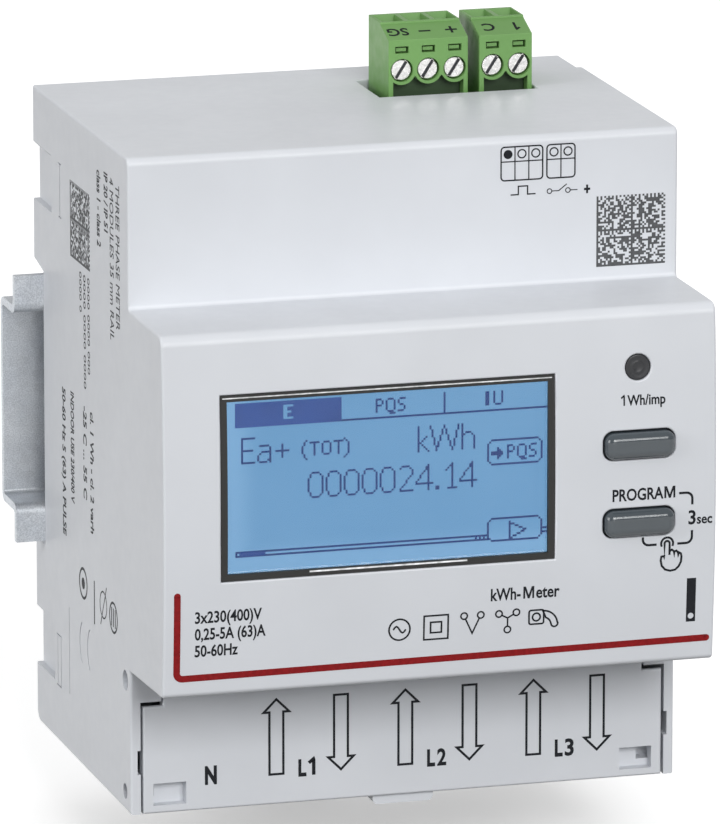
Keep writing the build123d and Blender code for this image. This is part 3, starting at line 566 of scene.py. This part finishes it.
def circle(across, up, radius, steps, start=0.0, end=360.0):
    """Points on a circle, or on an arc of it that includes both ends."""
    whole = end - start >= 360.0
    turns = steps if whole else steps - 1
    angles = [math.radians(start + (end - start) * i / turns) for i in range(steps)]
    return [(across + radius * math.cos(a), up + radius * math.sin(a)) for a in angles]


def rounded_box(left, right, low, high, radius, steps=6):
    """A rectangle with rounded corners, as one closed line of points."""
    points = []
    for across, up, start in ((right - radius, high - radius, 0), (left + radius, high - radius, 90),
                              (left + radius, low + radius, 180), (right - radius, low + radius, 270)):
        points += circle(across, up, radius, steps, start, start + 90)
    return points


def offset_sides(points, reach, closed):
    """The points moved to the left and to the right of the line, with mitres."""
    count = len(points)
    left, right = [], []
    for i, point in enumerate(points):
        before = points[i - 1] if closed or i > 0 else None
        after = points[(i + 1) % count] if closed or i < count - 1 else None
        normals = []
        for start, end in ((before, point), (point, after)):
            if start is not None and end is not None:
                along = Vector((end[0] - start[0], end[1] - start[1])).normalized()
                normals.append(Vector((-along.y, along.x)))
        mean = sum(normals, Vector((0.0, 0.0))).normalized()
        mitre = mean * reach / max(0.35, mean.dot(normals[0]))
        left.append((point[0] + mitre.x, point[1] + mitre.y))
        right.append((point[0] - mitre.x, point[1] - mitre.y))
    return left, right


def in_steps(start, end, step):
    """Points from start to end, no further apart than a step."""
    count = max(1, math.ceil(math.dist(start, end) / step))
    return [(start[0] + (end[0] - start[0]) * i / count, start[1] + (end[1] - start[1]) * i / count)
            for i in range(count + 1)]


def text_mesh(words, bold=0.0):
    """Solid letters of the built-in face at size 1, their width and the height of a capital."""
    meshes = []
    for body in (words, "H"):
        curve = bpy.data.curves.new("letters", "FONT")
        curve.body = body
        curve.extrude = 0.5
        curve.offset = bold
        curve.resolution_u = 3
        thing = add_object("letters", curve)
        graph = bpy.context.evaluated_depsgraph_get()
        meshes.append(bpy.data.meshes.new_from_object(thing.evaluated_get(graph)))
        bpy.data.objects.remove(thing)
        bpy.data.curves.remove(curve)
    mesh, capital = meshes
    left = min(v.co.x for v in mesh.vertices)
    for vertex in mesh.vertices:
        vertex.co.x -= left
    width = max(v.co.x for v in mesh.vertices)
    height = max(v.co.y for v in capital.vertices)
    bpy.data.meshes.remove(capital)
    return mesh, width, height


def dot_code(sheet, left, low, size, cells, seed):
    """A square field of generic dots: two by two blocks, each with a full left and lower edge."""
    dice = random.Random(seed)
    cell = size / cells
    half = cells // 2
    for row in range(cells):
        start = None
        for column in range(cells + 1):
            inner_row, inner_column = row % half, column % half
            if column == cells:
                dark = False
            elif inner_row == 0 or inner_column == 0:
                dark = True
            elif inner_row == half - 1:
                dark = inner_column % 2 == 0
            elif inner_column == half - 1:
                dark = inner_row % 2 == 0
            else:
                dark = dice.random() < 0.52
            if dark and start is None:
                start = column
            if not dark and start is not None:
                sheet.block(left + start * cell, left + column * cell, low + row * cell,
                            low + (row + 1) * cell)
                start = None


# ---- print on the front face

dark_ink = ink("dark_ink", DARK_INK)
# painted shade for the floors of the screw slots, made with the ink shader
slot_shade_paint = ink("painted_slot_shade", (0.045, 0.047, 0.052))
side_ink = ink("side_ink", (0.020, 0.022, 0.026))
code_ink = ink("code_ink", CODE_INK)
red_ink = ink("red_ink", RED_INK)


def print_ratings(sheet):
    """Generic electrical ratings at the lower left."""
    left, foot, spacing, height = -31.5, -18.2, 2.15, 1.45
    for lines_up, words, width in ((2, "3x230(400)V", 8.5), (1, "0,25-5A (63)A", 9.0), (0, "50-60Hz", 5.5)):
        sheet.text(words, left, foot + spacing * lines_up, height, width, bold=BOLD)


def print_key_labels(sheet):
    """Pulse value, the word over the lower key and its bracket with the time to hold it."""
    pulse_line = 9.95
    sheet.one(23.45, pulse_line, 1.3, 0.2)
    sheet.text("Wh/imp", 23.85, pulse_line, 1.3, 4.95, bold=BOLD)
    key_line = -2.1
    sheet.text("PROGRA", 21.95, key_line, 1.5, 6.62, bold=BOLD)
    sheet.capital_m(28.68, key_line, 1.5, 1.42, 0.25)
    corner = 0.75
    left, right = 25.95, 32.33
    top, foot = -1.6, -8.05
    upper = circle(right - corner, top - corner, corner, 6, 0, 90)[::-1]
    sheet.line([(30.6, top)] + upper + [(right, -3.15)], TEXT_LINE)
    lower = circle(right - corner, foot + corner, corner, 6, 270, 360)[::-1]
    sheet.line([(right, -6.45)] + lower + [(30.45, foot)], TEXT_LINE)
    hook_foot = -8.0
    hook = circle(left + corner, hook_foot + corner, corner, 6, 180, 270)
    sheet.line([(left, -6.95)] + hook + [(27.75, hook_foot)], TEXT_LINE)
    hold_line = -5.65
    sheet.text("3", 31.85, hold_line, 1.75, 0.95, bold=BOLD)
    sheet.text("sec", 32.95, hold_line, 1.25, 2.0, bold=BOLD)


def print_hand(sheet):
    """Pointing hand whose finger tip presses, with a ring round the tip."""
    tip_x = 29.12
    tip_z = -7.95
    sheet.line(circle(tip_x, tip_z, 0.78, 14, -28, 208), 0.27)
    finger = circle(tip_x, tip_z, 0.33, 9, 0, 180)
    knuckles = [(tip_x + 0.33, -9.45), (tip_x + 0.33, -9.0), (tip_x + 0.62, -8.78), (tip_x + 0.9, -9.0),
                (tip_x + 0.95, -9.5), (tip_x + 0.95, -9.05), (tip_x + 1.22, -8.95), (tip_x + 1.45, -9.2),
                (tip_x + 1.47, -9.55), (tip_x + 1.55, -9.2), (tip_x + 1.82, -9.35), (tip_x + 1.9, -9.7)]
    palm = [(tip_x + 1.85, -10.4), (tip_x + 1.55, -11.0), (tip_x + 1.1, -11.4), (tip_x + 0.45, -11.5),
            (tip_x - 0.2, -11.3), (tip_x - 0.65, -10.8), (tip_x - 0.8, -10.1), (tip_x - 0.72, -9.6)]
    sheet.line(knuckles + palm + [(tip_x - 0.33, -9.55), (tip_x - 0.33, -10.1), (tip_x - 0.33, tip_z)]
               + finger[::-1][1:] + [(tip_x + 0.33, -9.0)], 0.27)


def print_symbols(sheet):
    """What the meter counts, an alternating-current mark, the double square and two network symbols."""
    name_line, height = -13.75, 1.55
    sheet.text("kWh-", 6.35, name_line, height, 3.85, bold=BOLD)
    sheet.capital_m(10.55, name_line, height, 1.4, 0.24)
    sheet.text("eter", 12.2, name_line, height, 3.05, bold=BOLD)
    middle, level = -5.35, -16.6
    sheet.ring(middle, level, 1.35, FINE_LINE)
    wave = [(middle - 0.8 + 1.6 * i / 12, level + 0.42 * math.sin(math.tau * i / 12)) for i in range(13)]
    sheet.line(wave, FINE_LINE)
    for left, right, low, high in ((-2.2, 0.9, -18.15, -15.1), (-1.35, 0.05, -17.3, -15.95)):
        sheet.line([(left, low), (right, low), (right, high), (left, high)], FINE_LINE, closed=True)
    ball = 0.42
    for across in (2.95, 5.1):
        sheet.ring(across, -15.45, ball, THIN_LINE, 16)
    sheet.line([(3.13, -15.83), (4.02, -17.75), (4.92, -15.83)], THIN_LINE)
    centre = (8.58, -16.1)
    for across, up in ((7.45, -15.5), (9.7, -15.45), (8.58, -17.6)):
        sheet.ring(across, up, ball, THIN_LINE, 16)
        reach = math.dist(centre, (across, up))
        share = (reach - ball) / reach
        arm_end = (centre[0] + (across - centre[0]) * share, centre[1] + (up - centre[1]) * share)
        sheet.line([centre, arm_end], THIN_LINE)


def print_winding_mark(sheet):
    """A square ring core with one loop of conductor beside it."""
    sheet.line(rounded_box(11.35, 13.25, -17.15, -15.35, 0.25, 4), FINE_LINE, closed=True)
    sheet.ring(12.3, -16.25, 0.5, FINE_LINE, 18)
    outer = circle(13.2, -17.35, 1.85, 10, 8, 92)
    tail = circle(14.66, -17.2, 0.45, 8, 180, 360)
    inner = circle(13.2, -17.35, 1.0, 8, 10, 70)[::-1]
    sheet.line(outer[::-1] + tail[::-1] + inner[::-1], FINE_LINE, closed=True)


def print_bar_mark(sheet):
    """A solid upright bar at the right edge with a small open circle near its foot."""
    left, right, low, high = 31.8, 33.0, -18.3, -12.65
    middle = (left + right) / 2
    hole = 0.38
    ring_up = -17.55
    for side in (-1, 1):
        turns = [math.pi * i / 12 for i in range(13)]
        arc = [(middle + side * hole * math.sin(turn), ring_up - hole * math.cos(turn)) for turn in turns]
        edge = middle + side * (right - left) / 2
        outline = [(middle, low), (edge, low), (edge, high), (middle, high)] + arc[::-1]
        sheet.patch(outline if side > 0 else outline[::-1])


def print_red_line(sheet):
    """The red line that runs down the left and along the foot of the face."""
    width = 0.85
    left, right = -33.75, 34.5
    top, foot = -10.3, -20.95
    slope = 0.4
    corner = 0.75
    down = in_steps((left, top), (left, foot + corner), 1.0)
    bend = circle(left + corner, foot + corner, corner, 6, 180, 270)
    sheet.line(down + bend[1:] + [(right, foot + slope)], width)
    sheet.disc(left, top, width / 2)
    sheet.disc(right, foot + slope, width / 2)


face_sheet = Print(on_face)
print_ratings(face_sheet)
print_key_labels(face_sheet)
print_hand(face_sheet)
print_symbols(face_sheet)
print_winding_mark(face_sheet)
print_bar_mark(face_sheet)
face_sheet.finish("print_face", dark_ink, "housing")

red_sheet = Print(on_face)
print_red_line(red_sheet)
red_sheet.finish("print_red_line", red_ink, "housing")


# ---- print on the shoulder

def print_plug_diagram(sheet, left, right, low, high, ways, filled):
    """Outline of one plug seen from the front: a row of circles over a row of plain cells."""
    sheet.line(rounded_box(left, right, low, high, 0.45), 0.18, closed=True)
    middle = low + (high - low) * 0.56
    sheet.line([(left, middle), (right, middle)], 0.15)
    cell = (right - left) / ways
    for number in range(ways):
        across = left + cell * (number + 0.5)
        up = (middle + high) / 2
        if number in filled:
            sheet.disc(across, up, 0.58)
        else:
            sheet.ring(across, up, 0.52, 0.17)
        if number:
            sheet.line([(left + cell * number, low), (left + cell * number, high)], 0.15)


def print_output_marks(sheet):
    """Under the plug diagrams: a square pulse, a switch between two terminals and a plus sign."""
    low, high = 33.75, 34.8
    sheet.line([(13.7, low), (14.7, low), (14.7, high), (15.9, high), (15.9, low), (16.95, low)], 0.17)
    level = 33.95
    for ball_x in (18.75, 21.15):
        sheet.ring(ball_x, level, 0.3, 0.12, 16)
    sheet.line([(19.05, level), (19.95, level), (21.0, 34.75)], 0.12)
    sheet.line([(21.45, level), (22.4, level)], 0.12)
    sheet.block(23.25, 24.05, level - 0.15, level + 0.15)
    sheet.block(23.52, 23.78, level - 0.55, level - 0.16)
    sheet.block(23.52, 23.78, level + 0.16, level + 0.55)


shoulder_sheet = Print(on_shoulder)
for left, right, ways, filled in ((12.45, 17.85, 3, (0,)), (18.4, 22.05, 2, ())):
    print_plug_diagram(shoulder_sheet, left, right, 35.6, 39.85, ways, filled)
print_output_marks(shoulder_sheet)
shoulder_sheet.finish("print_shoulder", dark_ink, "housing")

code_sheet = Print(on_shoulder)
dot_code(code_sheet, 24.9, 23.9, 9.0, 36, 7)
code_sheet.finish("print_dot_code", code_ink, "housing")


# ---- print on the terminal cover

def print_arrow(sheet, across, low, high, pointing_up):
    """Outline of a block arrow."""
    head = 1.66
    shaft = 0.9
    slope = 1.65
    tip, tail = (high, low) if pointing_up else (low, high)
    neck = tip - slope if pointing_up else tip + slope
    sheet.line([(across, tip), (across + head, neck), (across + shaft, neck), (across + shaft, tail),
                (across - shaft, tail), (across - shaft, neck), (across - head, neck)], 0.3, closed=True)


def print_phase(sheet, number, middle):
    """The letter L and the number of a phase, on both sides of a middle."""
    baseline, height = -39.0, 2.15
    sheet.text("L", middle - 1.2, baseline, height, 1.05, bold=0.04)
    if number == 1:
        sheet.one(middle + 0.8, baseline, height, 0.45)
    else:
        sheet.text(str(number), middle + 0.12, baseline, height, 1.2, bold=0.03)


terminal_x = [middle_mm(f"terminal_cage_{number}", 0) for number in range(1, 8)]
cover_sheet = Print(on_shoulder)
for number, across in enumerate(terminal_x[1:]):
    print_arrow(cover_sheet, across + 0.15, -38.55, -28.85, number % 2 == 0)
for phase in (1, 2, 3):
    print_phase(cover_sheet, phase, (terminal_x[2 * phase - 1] + terminal_x[2 * phase]) / 2)
cover_sheet.text("N", terminal_x[0] + 0.05, -39.1, 2.3, 1.55, bold=0.05, middle=True)
cover_sheet.finish("print_cover", dark_ink, "cover")


# ---- print on the left side

SIDE_LINES = (
    # words, how far in front of the rail, top of the line, its length, height of a capital, boldness
    ("THREE PHASE METER", 36.9, 36.9, 18.4, 1.75, BOLD),
    ("4 MODULES 35 mm RAIL", 34.0, 37.2, 20.6, 1.75, BOLD),
    ("IP 20 / IP 51", 31.2, 37.3, 7.5, 1.75, BOLD),
    ("class 1 - class 2", 27.7, 36.9, 9.7, 1.75, BOLD),
    ("cl. 1 Wh - cl. 2 varh", 23.6, 5.0, 15.7, 1.6, BOLD),
    ("-25 C ... 55 C", 20.1, 5.0, 12.0, 1.6, BOLD),
    ("INDOOR USE 230/400 V", 13.7, 5.4, 14.4, 1.6, BOLD),
    ("50-60 Hz 5 (63) A PULSE", 9.4, 5.0, 19.2, 1.6, BOLD),
    ("0000 0000 000", 22.6, 22.0, 12.4, 1.0, 0.0),
    ("0000 0000 0000", 20.6, 22.0, 14.7, 1.0, 0.0),
    ("0000 0", 18.6, 22.0, 5.2, 1.0, 0.0),
)


def print_side_marks(sheet):
    """Round marks under the lines of the side: a target, a crossed ring and a ring with three bars."""
    sheet.ring(19.5, -18.3, 1.9, 0.35)
    sheet.disc(19.5, -18.3, 0.75)
    sheet.block(24.9, 25.25, -22.2, -16.6)
    sheet.ring(29.6, -18.6, 1.7, 0.2)
    sheet.line([(28.2, -21.4), (31.2, -16.0)], 0.2)
    sheet.ring(34.6, -19.0, 1.9, 0.3)
    for across in (33.7, 34.6, 35.5):
        sheet.block(across - 0.15, across + 0.15, -20.2, -17.8)


side_sheet = Print(on_side)
for words, across, start, length, height, boldness in SIDE_LINES:
    side_sheet.text(words, across, start, height, length, turn=-90, bold=boldness)
print_side_marks(side_sheet)
side_sheet.finish("print_side", side_ink, "housing")

side_code = Print(on_side)
dot_code(side_code, 14.1, 23.0, 9.8, 32, 11)
side_code.finish("print_side_dot_code", code_ink, "housing")


# ---- marks on the plugs

def on_slant(across, up, height):
    """A point on the slanted label face of the plugs, up measured along the slope."""
    return slant_foot + Vector((across * MM, 0.0, 0.0)) + slant_along * (up * MM) + slant_out * (height * MM)


def print_plug_mark(sheet, mark, across, up):
    """The letters, figure or sign of one way, upside down for a viewer in front."""
    baseline = up + MARK_HEIGHT / 2
    half_line = SIGN_LINE / 2
    if mark in ("minus", "plus"):
        sheet.block(across - SIGN_HALF, across + SIGN_HALF, up - half_line, up + half_line)
    if mark == "plus":
        sheet.block(across - half_line, across + half_line, up + half_line + 0.001, up + SIGN_HALF)
        sheet.block(across - half_line, across + half_line, up - SIGN_HALF, up - half_line - 0.001)
    if mark == "1":
        sheet.one(across, baseline, MARK_HEIGHT, SIGN_LINE, turn=180)
    if mark in ("SG", "C"):
        sheet.text(mark, across, baseline, MARK_HEIGHT, turn=180, bold=0.018, middle=True)


slant_foot = Vector((0.0, PLUG_FRONT, 48.1)) * MM
slant_top = Vector((0.0, -9.5, 49.5)) * MM
slant_along = (slant_top - slant_foot).normalized()
slant_out = Vector((0.0, slant_along.z, -slant_along.y)) * -1
slant_length = (slant_top - slant_foot).length / MM

for name, body, marks, screws in PLUGS:
    low, high = box_mm(name)
    way = (high[0] - low[0]) / len(marks)
    sheet = Print(on_slant)
    for number, mark in enumerate(marks):
        print_plug_mark(sheet, mark, low[0] + way * (number + 0.5), slant_length * 0.47)
    sheet.finish(f"print_{name}", dark_ink, body)


# ---- painted shade: a dark sheet on the floor of the recess at the plugs' feet

def on_recess(across, up, height):
    """A point on the floor of the scalloped recess at the front of a plug."""
    return Vector((across, PLUG_FRONT + RECESS_DEPTH - height, up)) * MM


# painted shade: a dark green sheet where the recess below the scallops lies in shadow
painted_recess_shade = moulded("painted_recess_shade", (0.036, 0.068, 0.030), rough=(0.45, 0.6), blotch=0.35, gloss=0.3)
for name, body, marks, screws in PLUGS:
    low, high = box_mm(name)
    scallops = [(low[0] + RECESS_MARGIN, RECESS_TOP)]
    for number in screws:
        centre_x = middle_mm(f"plug_screw_{number}", 0)
        centre_z = middle_mm(f"plug_screw_{number}", 2)
        swing = math.degrees(math.acos((RECESS_TOP - centre_z) / SCREW_REACH))
        scallops += circle(centre_x, centre_z, SCREW_REACH, 9, 90 + swing, 450 - swing)
    scallops.append((high[0] - RECESS_MARGIN, RECESS_TOP))
    sheet = Print(on_recess)
    sheet.curtain(scallops, RECESS_LOW)
    sheet.finish(f"recess_{name}", painted_recess_shade, body)


# ---- display image

class DotImage:
    """Dots of the display, set by column and row, and made into strips of ink."""

    def __init__(self):
        self.dots = set()

    def stroke(self, points, left=0, top=0):
        """A line, one dot thick, through points given in dots."""
        for (c0, r0), (c1, r1) in zip(points, points[1:]):
            steps = max(1, abs(c1 - c0), abs(r1 - r0))
            for i in range(steps + 1):
                column = math.floor(left + c0 + (c1 - c0) * i / steps + 0.5)
                row = math.floor(top + r0 + (r1 - r0) * i / steps + 0.5)
                self.dots.add((column, row))

    def fill(self, left, right, top, low):
        """A filled rectangle, both ends included."""
        self.dots.update((column, row) for column in range(left, right + 1) for row in range(top, low + 1))

    def write(self, words, left, top, letters):
        """Letters from a table of strokes, one after the other."""
        for letter in words:
            advance, strokes = letters[letter]
            for points in strokes:
                self.stroke(points, left, top)
            left += advance

    def frame(self, left, right, top, low, corner):
        """A box with cut corners."""
        self.stroke([(left + corner, top), (right - corner, top), (right, top + corner),
                     (right, low - corner), (right - corner, low), (left + corner, low),
                     (left, low - corner), (left, top + corner), (left + corner, top)])

    def finish(self, name, material):
        """Neighbouring dots of a row become one strip."""
        sheet = Print(on_lcd, DOT_THICK, DOT_THICK)
        for row in sorted({row for column, row in self.dots}):
            columns = sorted(column for column, other in self.dots if other == row)
            start = columns[0]
            for column, after in zip(columns, columns[1:] + [None]):
                if after != column + 1:
                    sheet.block(LCD_LEFT + start * DOT, LCD_LEFT + (column + 1) * DOT,
                                LCD_TOP - (row + 1) * DOT, LCD_TOP - row * DOT)
                    start = after
        return sheet.finish(name, material, "housing")


# Each letter: how far the next one starts, then its strokes as (column, row) points, row 0 at the top.
SMALL = {
    "P": (5, [[(0, 6), (0, 0), (2, 0), (3, 1), (3, 2), (2, 3), (0, 3)]]),
    "Q": (6, [[(1, 0), (3, 0), (4, 1), (4, 5), (3, 6), (1, 6), (0, 5), (0, 1), (1, 0)], [(2, 7), (4, 7)]]),
    "S": (5, [[(3, 0), (1, 0), (0, 1), (0, 2), (1, 3), (2, 3), (3, 4), (3, 5), (2, 6), (0, 6)]]),
    "I": (4, [[(0, 0), (0, 6)], [(1, 0), (1, 6)]]),
    "U": (6, [[(0, 0), (0, 5), (1, 6), (3, 6), (4, 5), (4, 0)]]),
    "E": (6, [[(4, 0), (0, 0), (0, 6), (4, 6)], [(1, 0), (1, 6)], [(1, 3), (3, 3)]]),
    "T": (6, [[(0, 0), (4, 0)], [(2, 0), (2, 6)]]),
    "O": (6, [[(1, 0), (3, 0), (4, 1), (4, 5), (3, 6), (1, 6), (0, 5), (0, 1), (1, 0)]]),
    "(": (4, [[(2, -1), (1, 0), (0, 2), (0, 5), (1, 7), (2, 8)]]),
    ")": (4, [[(-1, -1), (0, 0), (1, 2), (1, 5), (0, 7), (-1, 8)]]),
}
LARGE = {
    "k": (6, [[(0, 0), (0, 12)], [(4, 5), (0, 9)], [(1, 8), (5, 12)]]),
    "W": (16, [[(0, 0), (3, 12)], [(3, 12), (7, 0)], [(7, 0), (11, 12)], [(11, 12), (14, 0)]]),
    "h": (7, [[(0, 0), (0, 12)], [(0, 6), (2, 4), (4, 4), (6, 6), (6, 12)]]),
    "E": (8, [[(6, 0), (0, 0), (0, 12), (6, 12)], [(0, 6), (5, 6)]]),
    "a": (9, [[(1, 4), (5, 4), (6, 5), (6, 12)],
              [(6, 7), (2, 7), (0, 9), (0, 11), (1, 12), (4, 12), (6, 10)]]),
    "+": (8, [[(0, 7), (6, 7)], [(3, 4), (3, 10)]]),
    "0": (9, [[(2, 0), (5, 0), (6, 1), (7, 3), (7, 9), (6, 11), (5, 12), (2, 12), (1, 11), (0, 9), (0, 3),
               (1, 1), (2, 0)]]),
    "1": (7, [[(0, 3), (3, 0), (3, 12)], [(1, 12), (5, 12)]]),
    "2": (9, [[(1, 1), (2, 0), (5, 0), (7, 2), (7, 4), (1, 11), (1, 12), (7, 12)]]),
    "4": (10, [[(6, 12), (6, 0), (0, 8), (0, 9), (8, 9)]]),
    ".": (5, [[(0, 11), (1, 11), (1, 12), (0, 12)]]),
}

TAB_ROW, READING_ROW, TOTAL_ROW = 3, 18, 37
BAR_TOP, BAR_LOW = 74, 76

image = DotImage()
image.stroke([(57, 12), (159, 12)])
image.stroke([(108, 2), (108, 12)])
for words, left, top, letters in (("PQS", 74, TAB_ROW, SMALL), ("IU", 129, TAB_ROW, SMALL),
                                  ("Ea+", 7, READING_ROW, LARGE), ("(TOT)", 37, 22, SMALL),
                                  ("kWh", 95, READING_ROW, LARGE), ("00000", 40, TOTAL_ROW, LARGE),
                                  ("24.14", 85, TOTAL_ROW, LARGE), ("PQS", 140, 30, SMALL)):
    image.write(words, left, top, letters)
# the two soft keys at the right: an arrow to the next page, and play
image.frame(130, 157, 27, 39, 2)
image.fill(132, 137, 33, 34)
image.fill(135, 135, 31, 36)
image.fill(136, 136, 32, 35)
image.frame(130, 157, 66, 77, 2)
image.stroke([(141, 68), (149, 72), (141, 76), (141, 68)])
# the load bar along the foot
for row in (BAR_TOP, BAR_LOW):
    image.stroke([(4, row), (130, row)])
    image.stroke([(158, row - 2), (159, row - 2)])
for column in (4, 124, 126, 128):
    image.stroke([(column, BAR_TOP), (column, BAR_LOW)])
image.finish("display_image", display_dots("display_dots", (0.013, 0.036, 0.150), 1.0))

solid = DotImage()
solid.fill(4, 56, 1, 12)
solid.fill(6, 18, BAR_TOP, BAR_LOW)
tab_letter = DotImage()
tab_letter.write("E", 28, TAB_ROW, SMALL)
solid.dots -= tab_letter.dots
solid.finish("display_bars", display_dots("display_solid_dots", (0.026, 0.066, 0.240), 1.0))


# ---- painted highlight strips on the display frame

def glint_strip(name, left, right, low, high, material):
    """A narrow bright metal strip on the crowned front of the display frame, with chamfered long edges: a
    painted highlight for the light that the window's edge catches.
    """
    front = on_face(0, (low + high) / 2, 0).y / MM + FRAME_SETBACK - 0.05
    back = front + 0.4
    cut = 0.05
    outline = [(back, low), (front + cut, low), (front, low + cut), (front, high - cut), (front + cut, high),
               (back, high)]
    mesh = bmesh.new()
    loft(mesh, [[mesh.verts.new(Vector((across, y, z)) * MM) for y, z in outline]
                for across in (left, right)])
    return piece(name, mesh, material, "housing")


# painted highlight: a bright metal that stands in for the glint along the window's edge
glint_paint_metal = metal("painted_pane_glint", (0.62, 0.63, 0.64), (0.3, 0.5), 0.8, contrast=0.3, grain=0.01)
glint_strip("painted_pane_glint_top", bezel_low[0] + 0.25, bezel_high[0] - 0.3, bezel_high[2] - 0.46,
            bezel_high[2] - 0.28, glint_paint_metal)
glint_strip("painted_pane_glint_foot", -16.9, 3.3, bezel_low[2] + 0.42, bezel_low[2] + 0.68, glint_paint_metal)


# ---- pulse lamp

def lathe_y(name, profile, across, up, material, body, steps=64):
    """A closed turned shape about an axis along Y; its profile is (radius, y) from front centre to back."""
    mesh = bmesh.new()
    rings = []
    for radius, depth in profile:
        if radius == 0:
            rings.append([mesh.verts.new(Vector((across, depth, up)) * MM)])
            continue
        outline = circle(across, up, radius, steps)
        rings.append([mesh.verts.new(Vector((x, depth, z)) * MM) for x, z in outline])
    for near, far in zip(rings, rings[1:]):
        for i in range(steps):
            j = (i + 1) % steps
            corners = [near[i % len(near)], near[j % len(near)], far[j % len(far)], far[i % len(far)]]
            mesh.faces.new(list(dict.fromkeys(corners)))
    bmesh.ops.recalc_face_normals(mesh, faces=mesh.faces)
    for face in mesh.faces:
        face.smooth = True
    return piece(name, mesh, material, body)


lens_front = lens_low[1] + 0.05
lens_profile = [(radius, lens_front + depth) for radius, depth in
                ((0.0, 0.22), (0.5, 0.21), (0.62, 0.15), (0.74, 0.15), (0.86, 0.21), (1.2, 0.19),
                 (LAMP_R - 0.22, 0.12), (LAMP_R - 0.08, 0.14), (LAMP_R, 0.22))]
lens_profile += [(LAMP_R, lens_high[1] - 0.1), (0.0, lens_high[1] - 0.1)]
lamp = lathe_y("lamp_lens", lens_profile, LAMP_X, LAMP_Z, slot_materials["lens"], "housing")
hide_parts("led_lens")


# ---- painted shade in the slots of the plug screws

def slot_shade(number):
    """Painted shade: a dark sheet on the floor of one screw slot, turned as the slot is."""
    screw = f"plug_screw_{number}"
    front = box_mm(screw)[0][1]
    long, wide = 1.22, 0.2
    mesh = bmesh.new()
    rings = []
    for depth, share in ((0.14, 0.9), (0.2, 1.0), (0.57, 1.0)):
        flat = [(x * share, z * share)
                for x, z in ((long, wide), (-long, wide), (-long, -wide), (long, -wide))]
        outline = turned(flat, middle_mm(screw, 0), middle_mm(screw, 2), SLOT_TURN)
        rings.append([mesh.verts.new(Vector((x, front + depth, z)) * MM) for x, z in outline])
    loft(mesh, rings)
    piece(f"slot_shade_{number}", mesh, slot_shade_paint, screw)


for number in range(1, 6):
    slot_shade(number)


# ---- studio

def studio_floor():
    """A wide pale sweep, flat under the meter and curved up far behind it, that throws no light back."""
    floor_z = cad_low.z - FLOOR_DROP
    half_width = 4.0
    near = -4.0
    bend_start = 4.0
    bend_radius = 1.0
    profile = [(near, floor_z), (bend_start, floor_z)]
    for i in range(1, 17):
        angle = math.radians(90 * i / 16)
        profile.append((bend_start + bend_radius * math.sin(angle),
                        floor_z + bend_radius * (1 - math.cos(angle))))
    profile.append((bend_start + bend_radius, floor_z + 4.0))
    mesh = bmesh.new()
    rows = [[mesh.verts.new((x, y, z)) for x in (-half_width, half_width)] for y, z in profile]
    for below, above in zip(rows, rows[1:]):
        face = mesh.faces.new((below[0], below[1], above[1], above[0]))
        face.smooth = True
    data = bpy.data.meshes.new("studio_floor")
    mesh.to_mesh(data)
    mesh.free()
    floor = add_object("studio_floor", data)
    material, tree, shader = new_material("studio_paper")
    vary_colour(tree, shader.inputs["Base Color"], 60.0, 2.0, (0.93, 0.93, 0.93), (0.95, 0.95, 0.95))
    put(shader, {"Roughness": 0.9, "Emission Color": (1.0, 1.0, 1.0, 1.0),
                 "Emission Strength": FLOOR_GLOW})
    data.materials.append(material)
    floor.visible_diffuse = False


def aim(thing, place, target):
    """Puts a light or the camera at a place and turns it to face a target."""
    thing.location = place
    thing.rotation_euler = (Vector(target) - Vector(place)).to_track_quat("-Z", "Y").to_euler()


def area_light(name, place, target, size, power):
    """A soft white rectangular light, aimed at a target."""
    data = bpy.data.lights.new(name, "AREA")
    data.shape = "RECTANGLE"
    data.size, data.size_y = size
    data.energy = power
    aim(add_object(name, data), place, target)


def studio_world():
    """Even white light that fades from the sky to the ground."""
    world = bpy.data.worlds.new("studio_world")
    bpy.context.scene.world = world
    world.use_nodes = True
    tree = world.node_tree
    place = tree.nodes.new("ShaderNodeSeparateXYZ")
    tree.links.new(tree.nodes.new("ShaderNodeTexCoord").outputs["Generated"], place.inputs["Vector"])
    fade = tree.nodes.new("ShaderNodeMapRange")
    fade.interpolation_type = "SMOOTHSTEP"
    put(fade, {"From Min": -0.35, "From Max": 0.25, "To Min": GROUND_LEVEL, "To Max": SKY_LEVEL})
    tree.links.new(place.outputs["Z"], fade.inputs["Value"])
    background = tree.nodes["Background"]
    put(background, {"Color": (1.0, 1.0, 1.0, 1.0)})
    tree.links.new(fade.outputs["Result"], background.inputs["Strength"])


studio_world()
studio_floor()
for row in LIGHTS:
    area_light(*row)


# ---- camera

camera_data = bpy.data.cameras.new("camera")
camera_data.sensor_fit = "VERTICAL"
camera_data.sensor_height = 36.0
camera_data.sensor_width = 36.0
camera_data.lens = CAMERA_LENS
camera_data.clip_start = 0.05
camera_data.clip_end = 20.0
camera = add_object("camera", camera_data)
aim(camera, CAMERA_PLACE, CAMERA_TARGET)
bpy.context.scene.camera = camera
bpy.context.scene.view_settings.view_transform = "Standard"
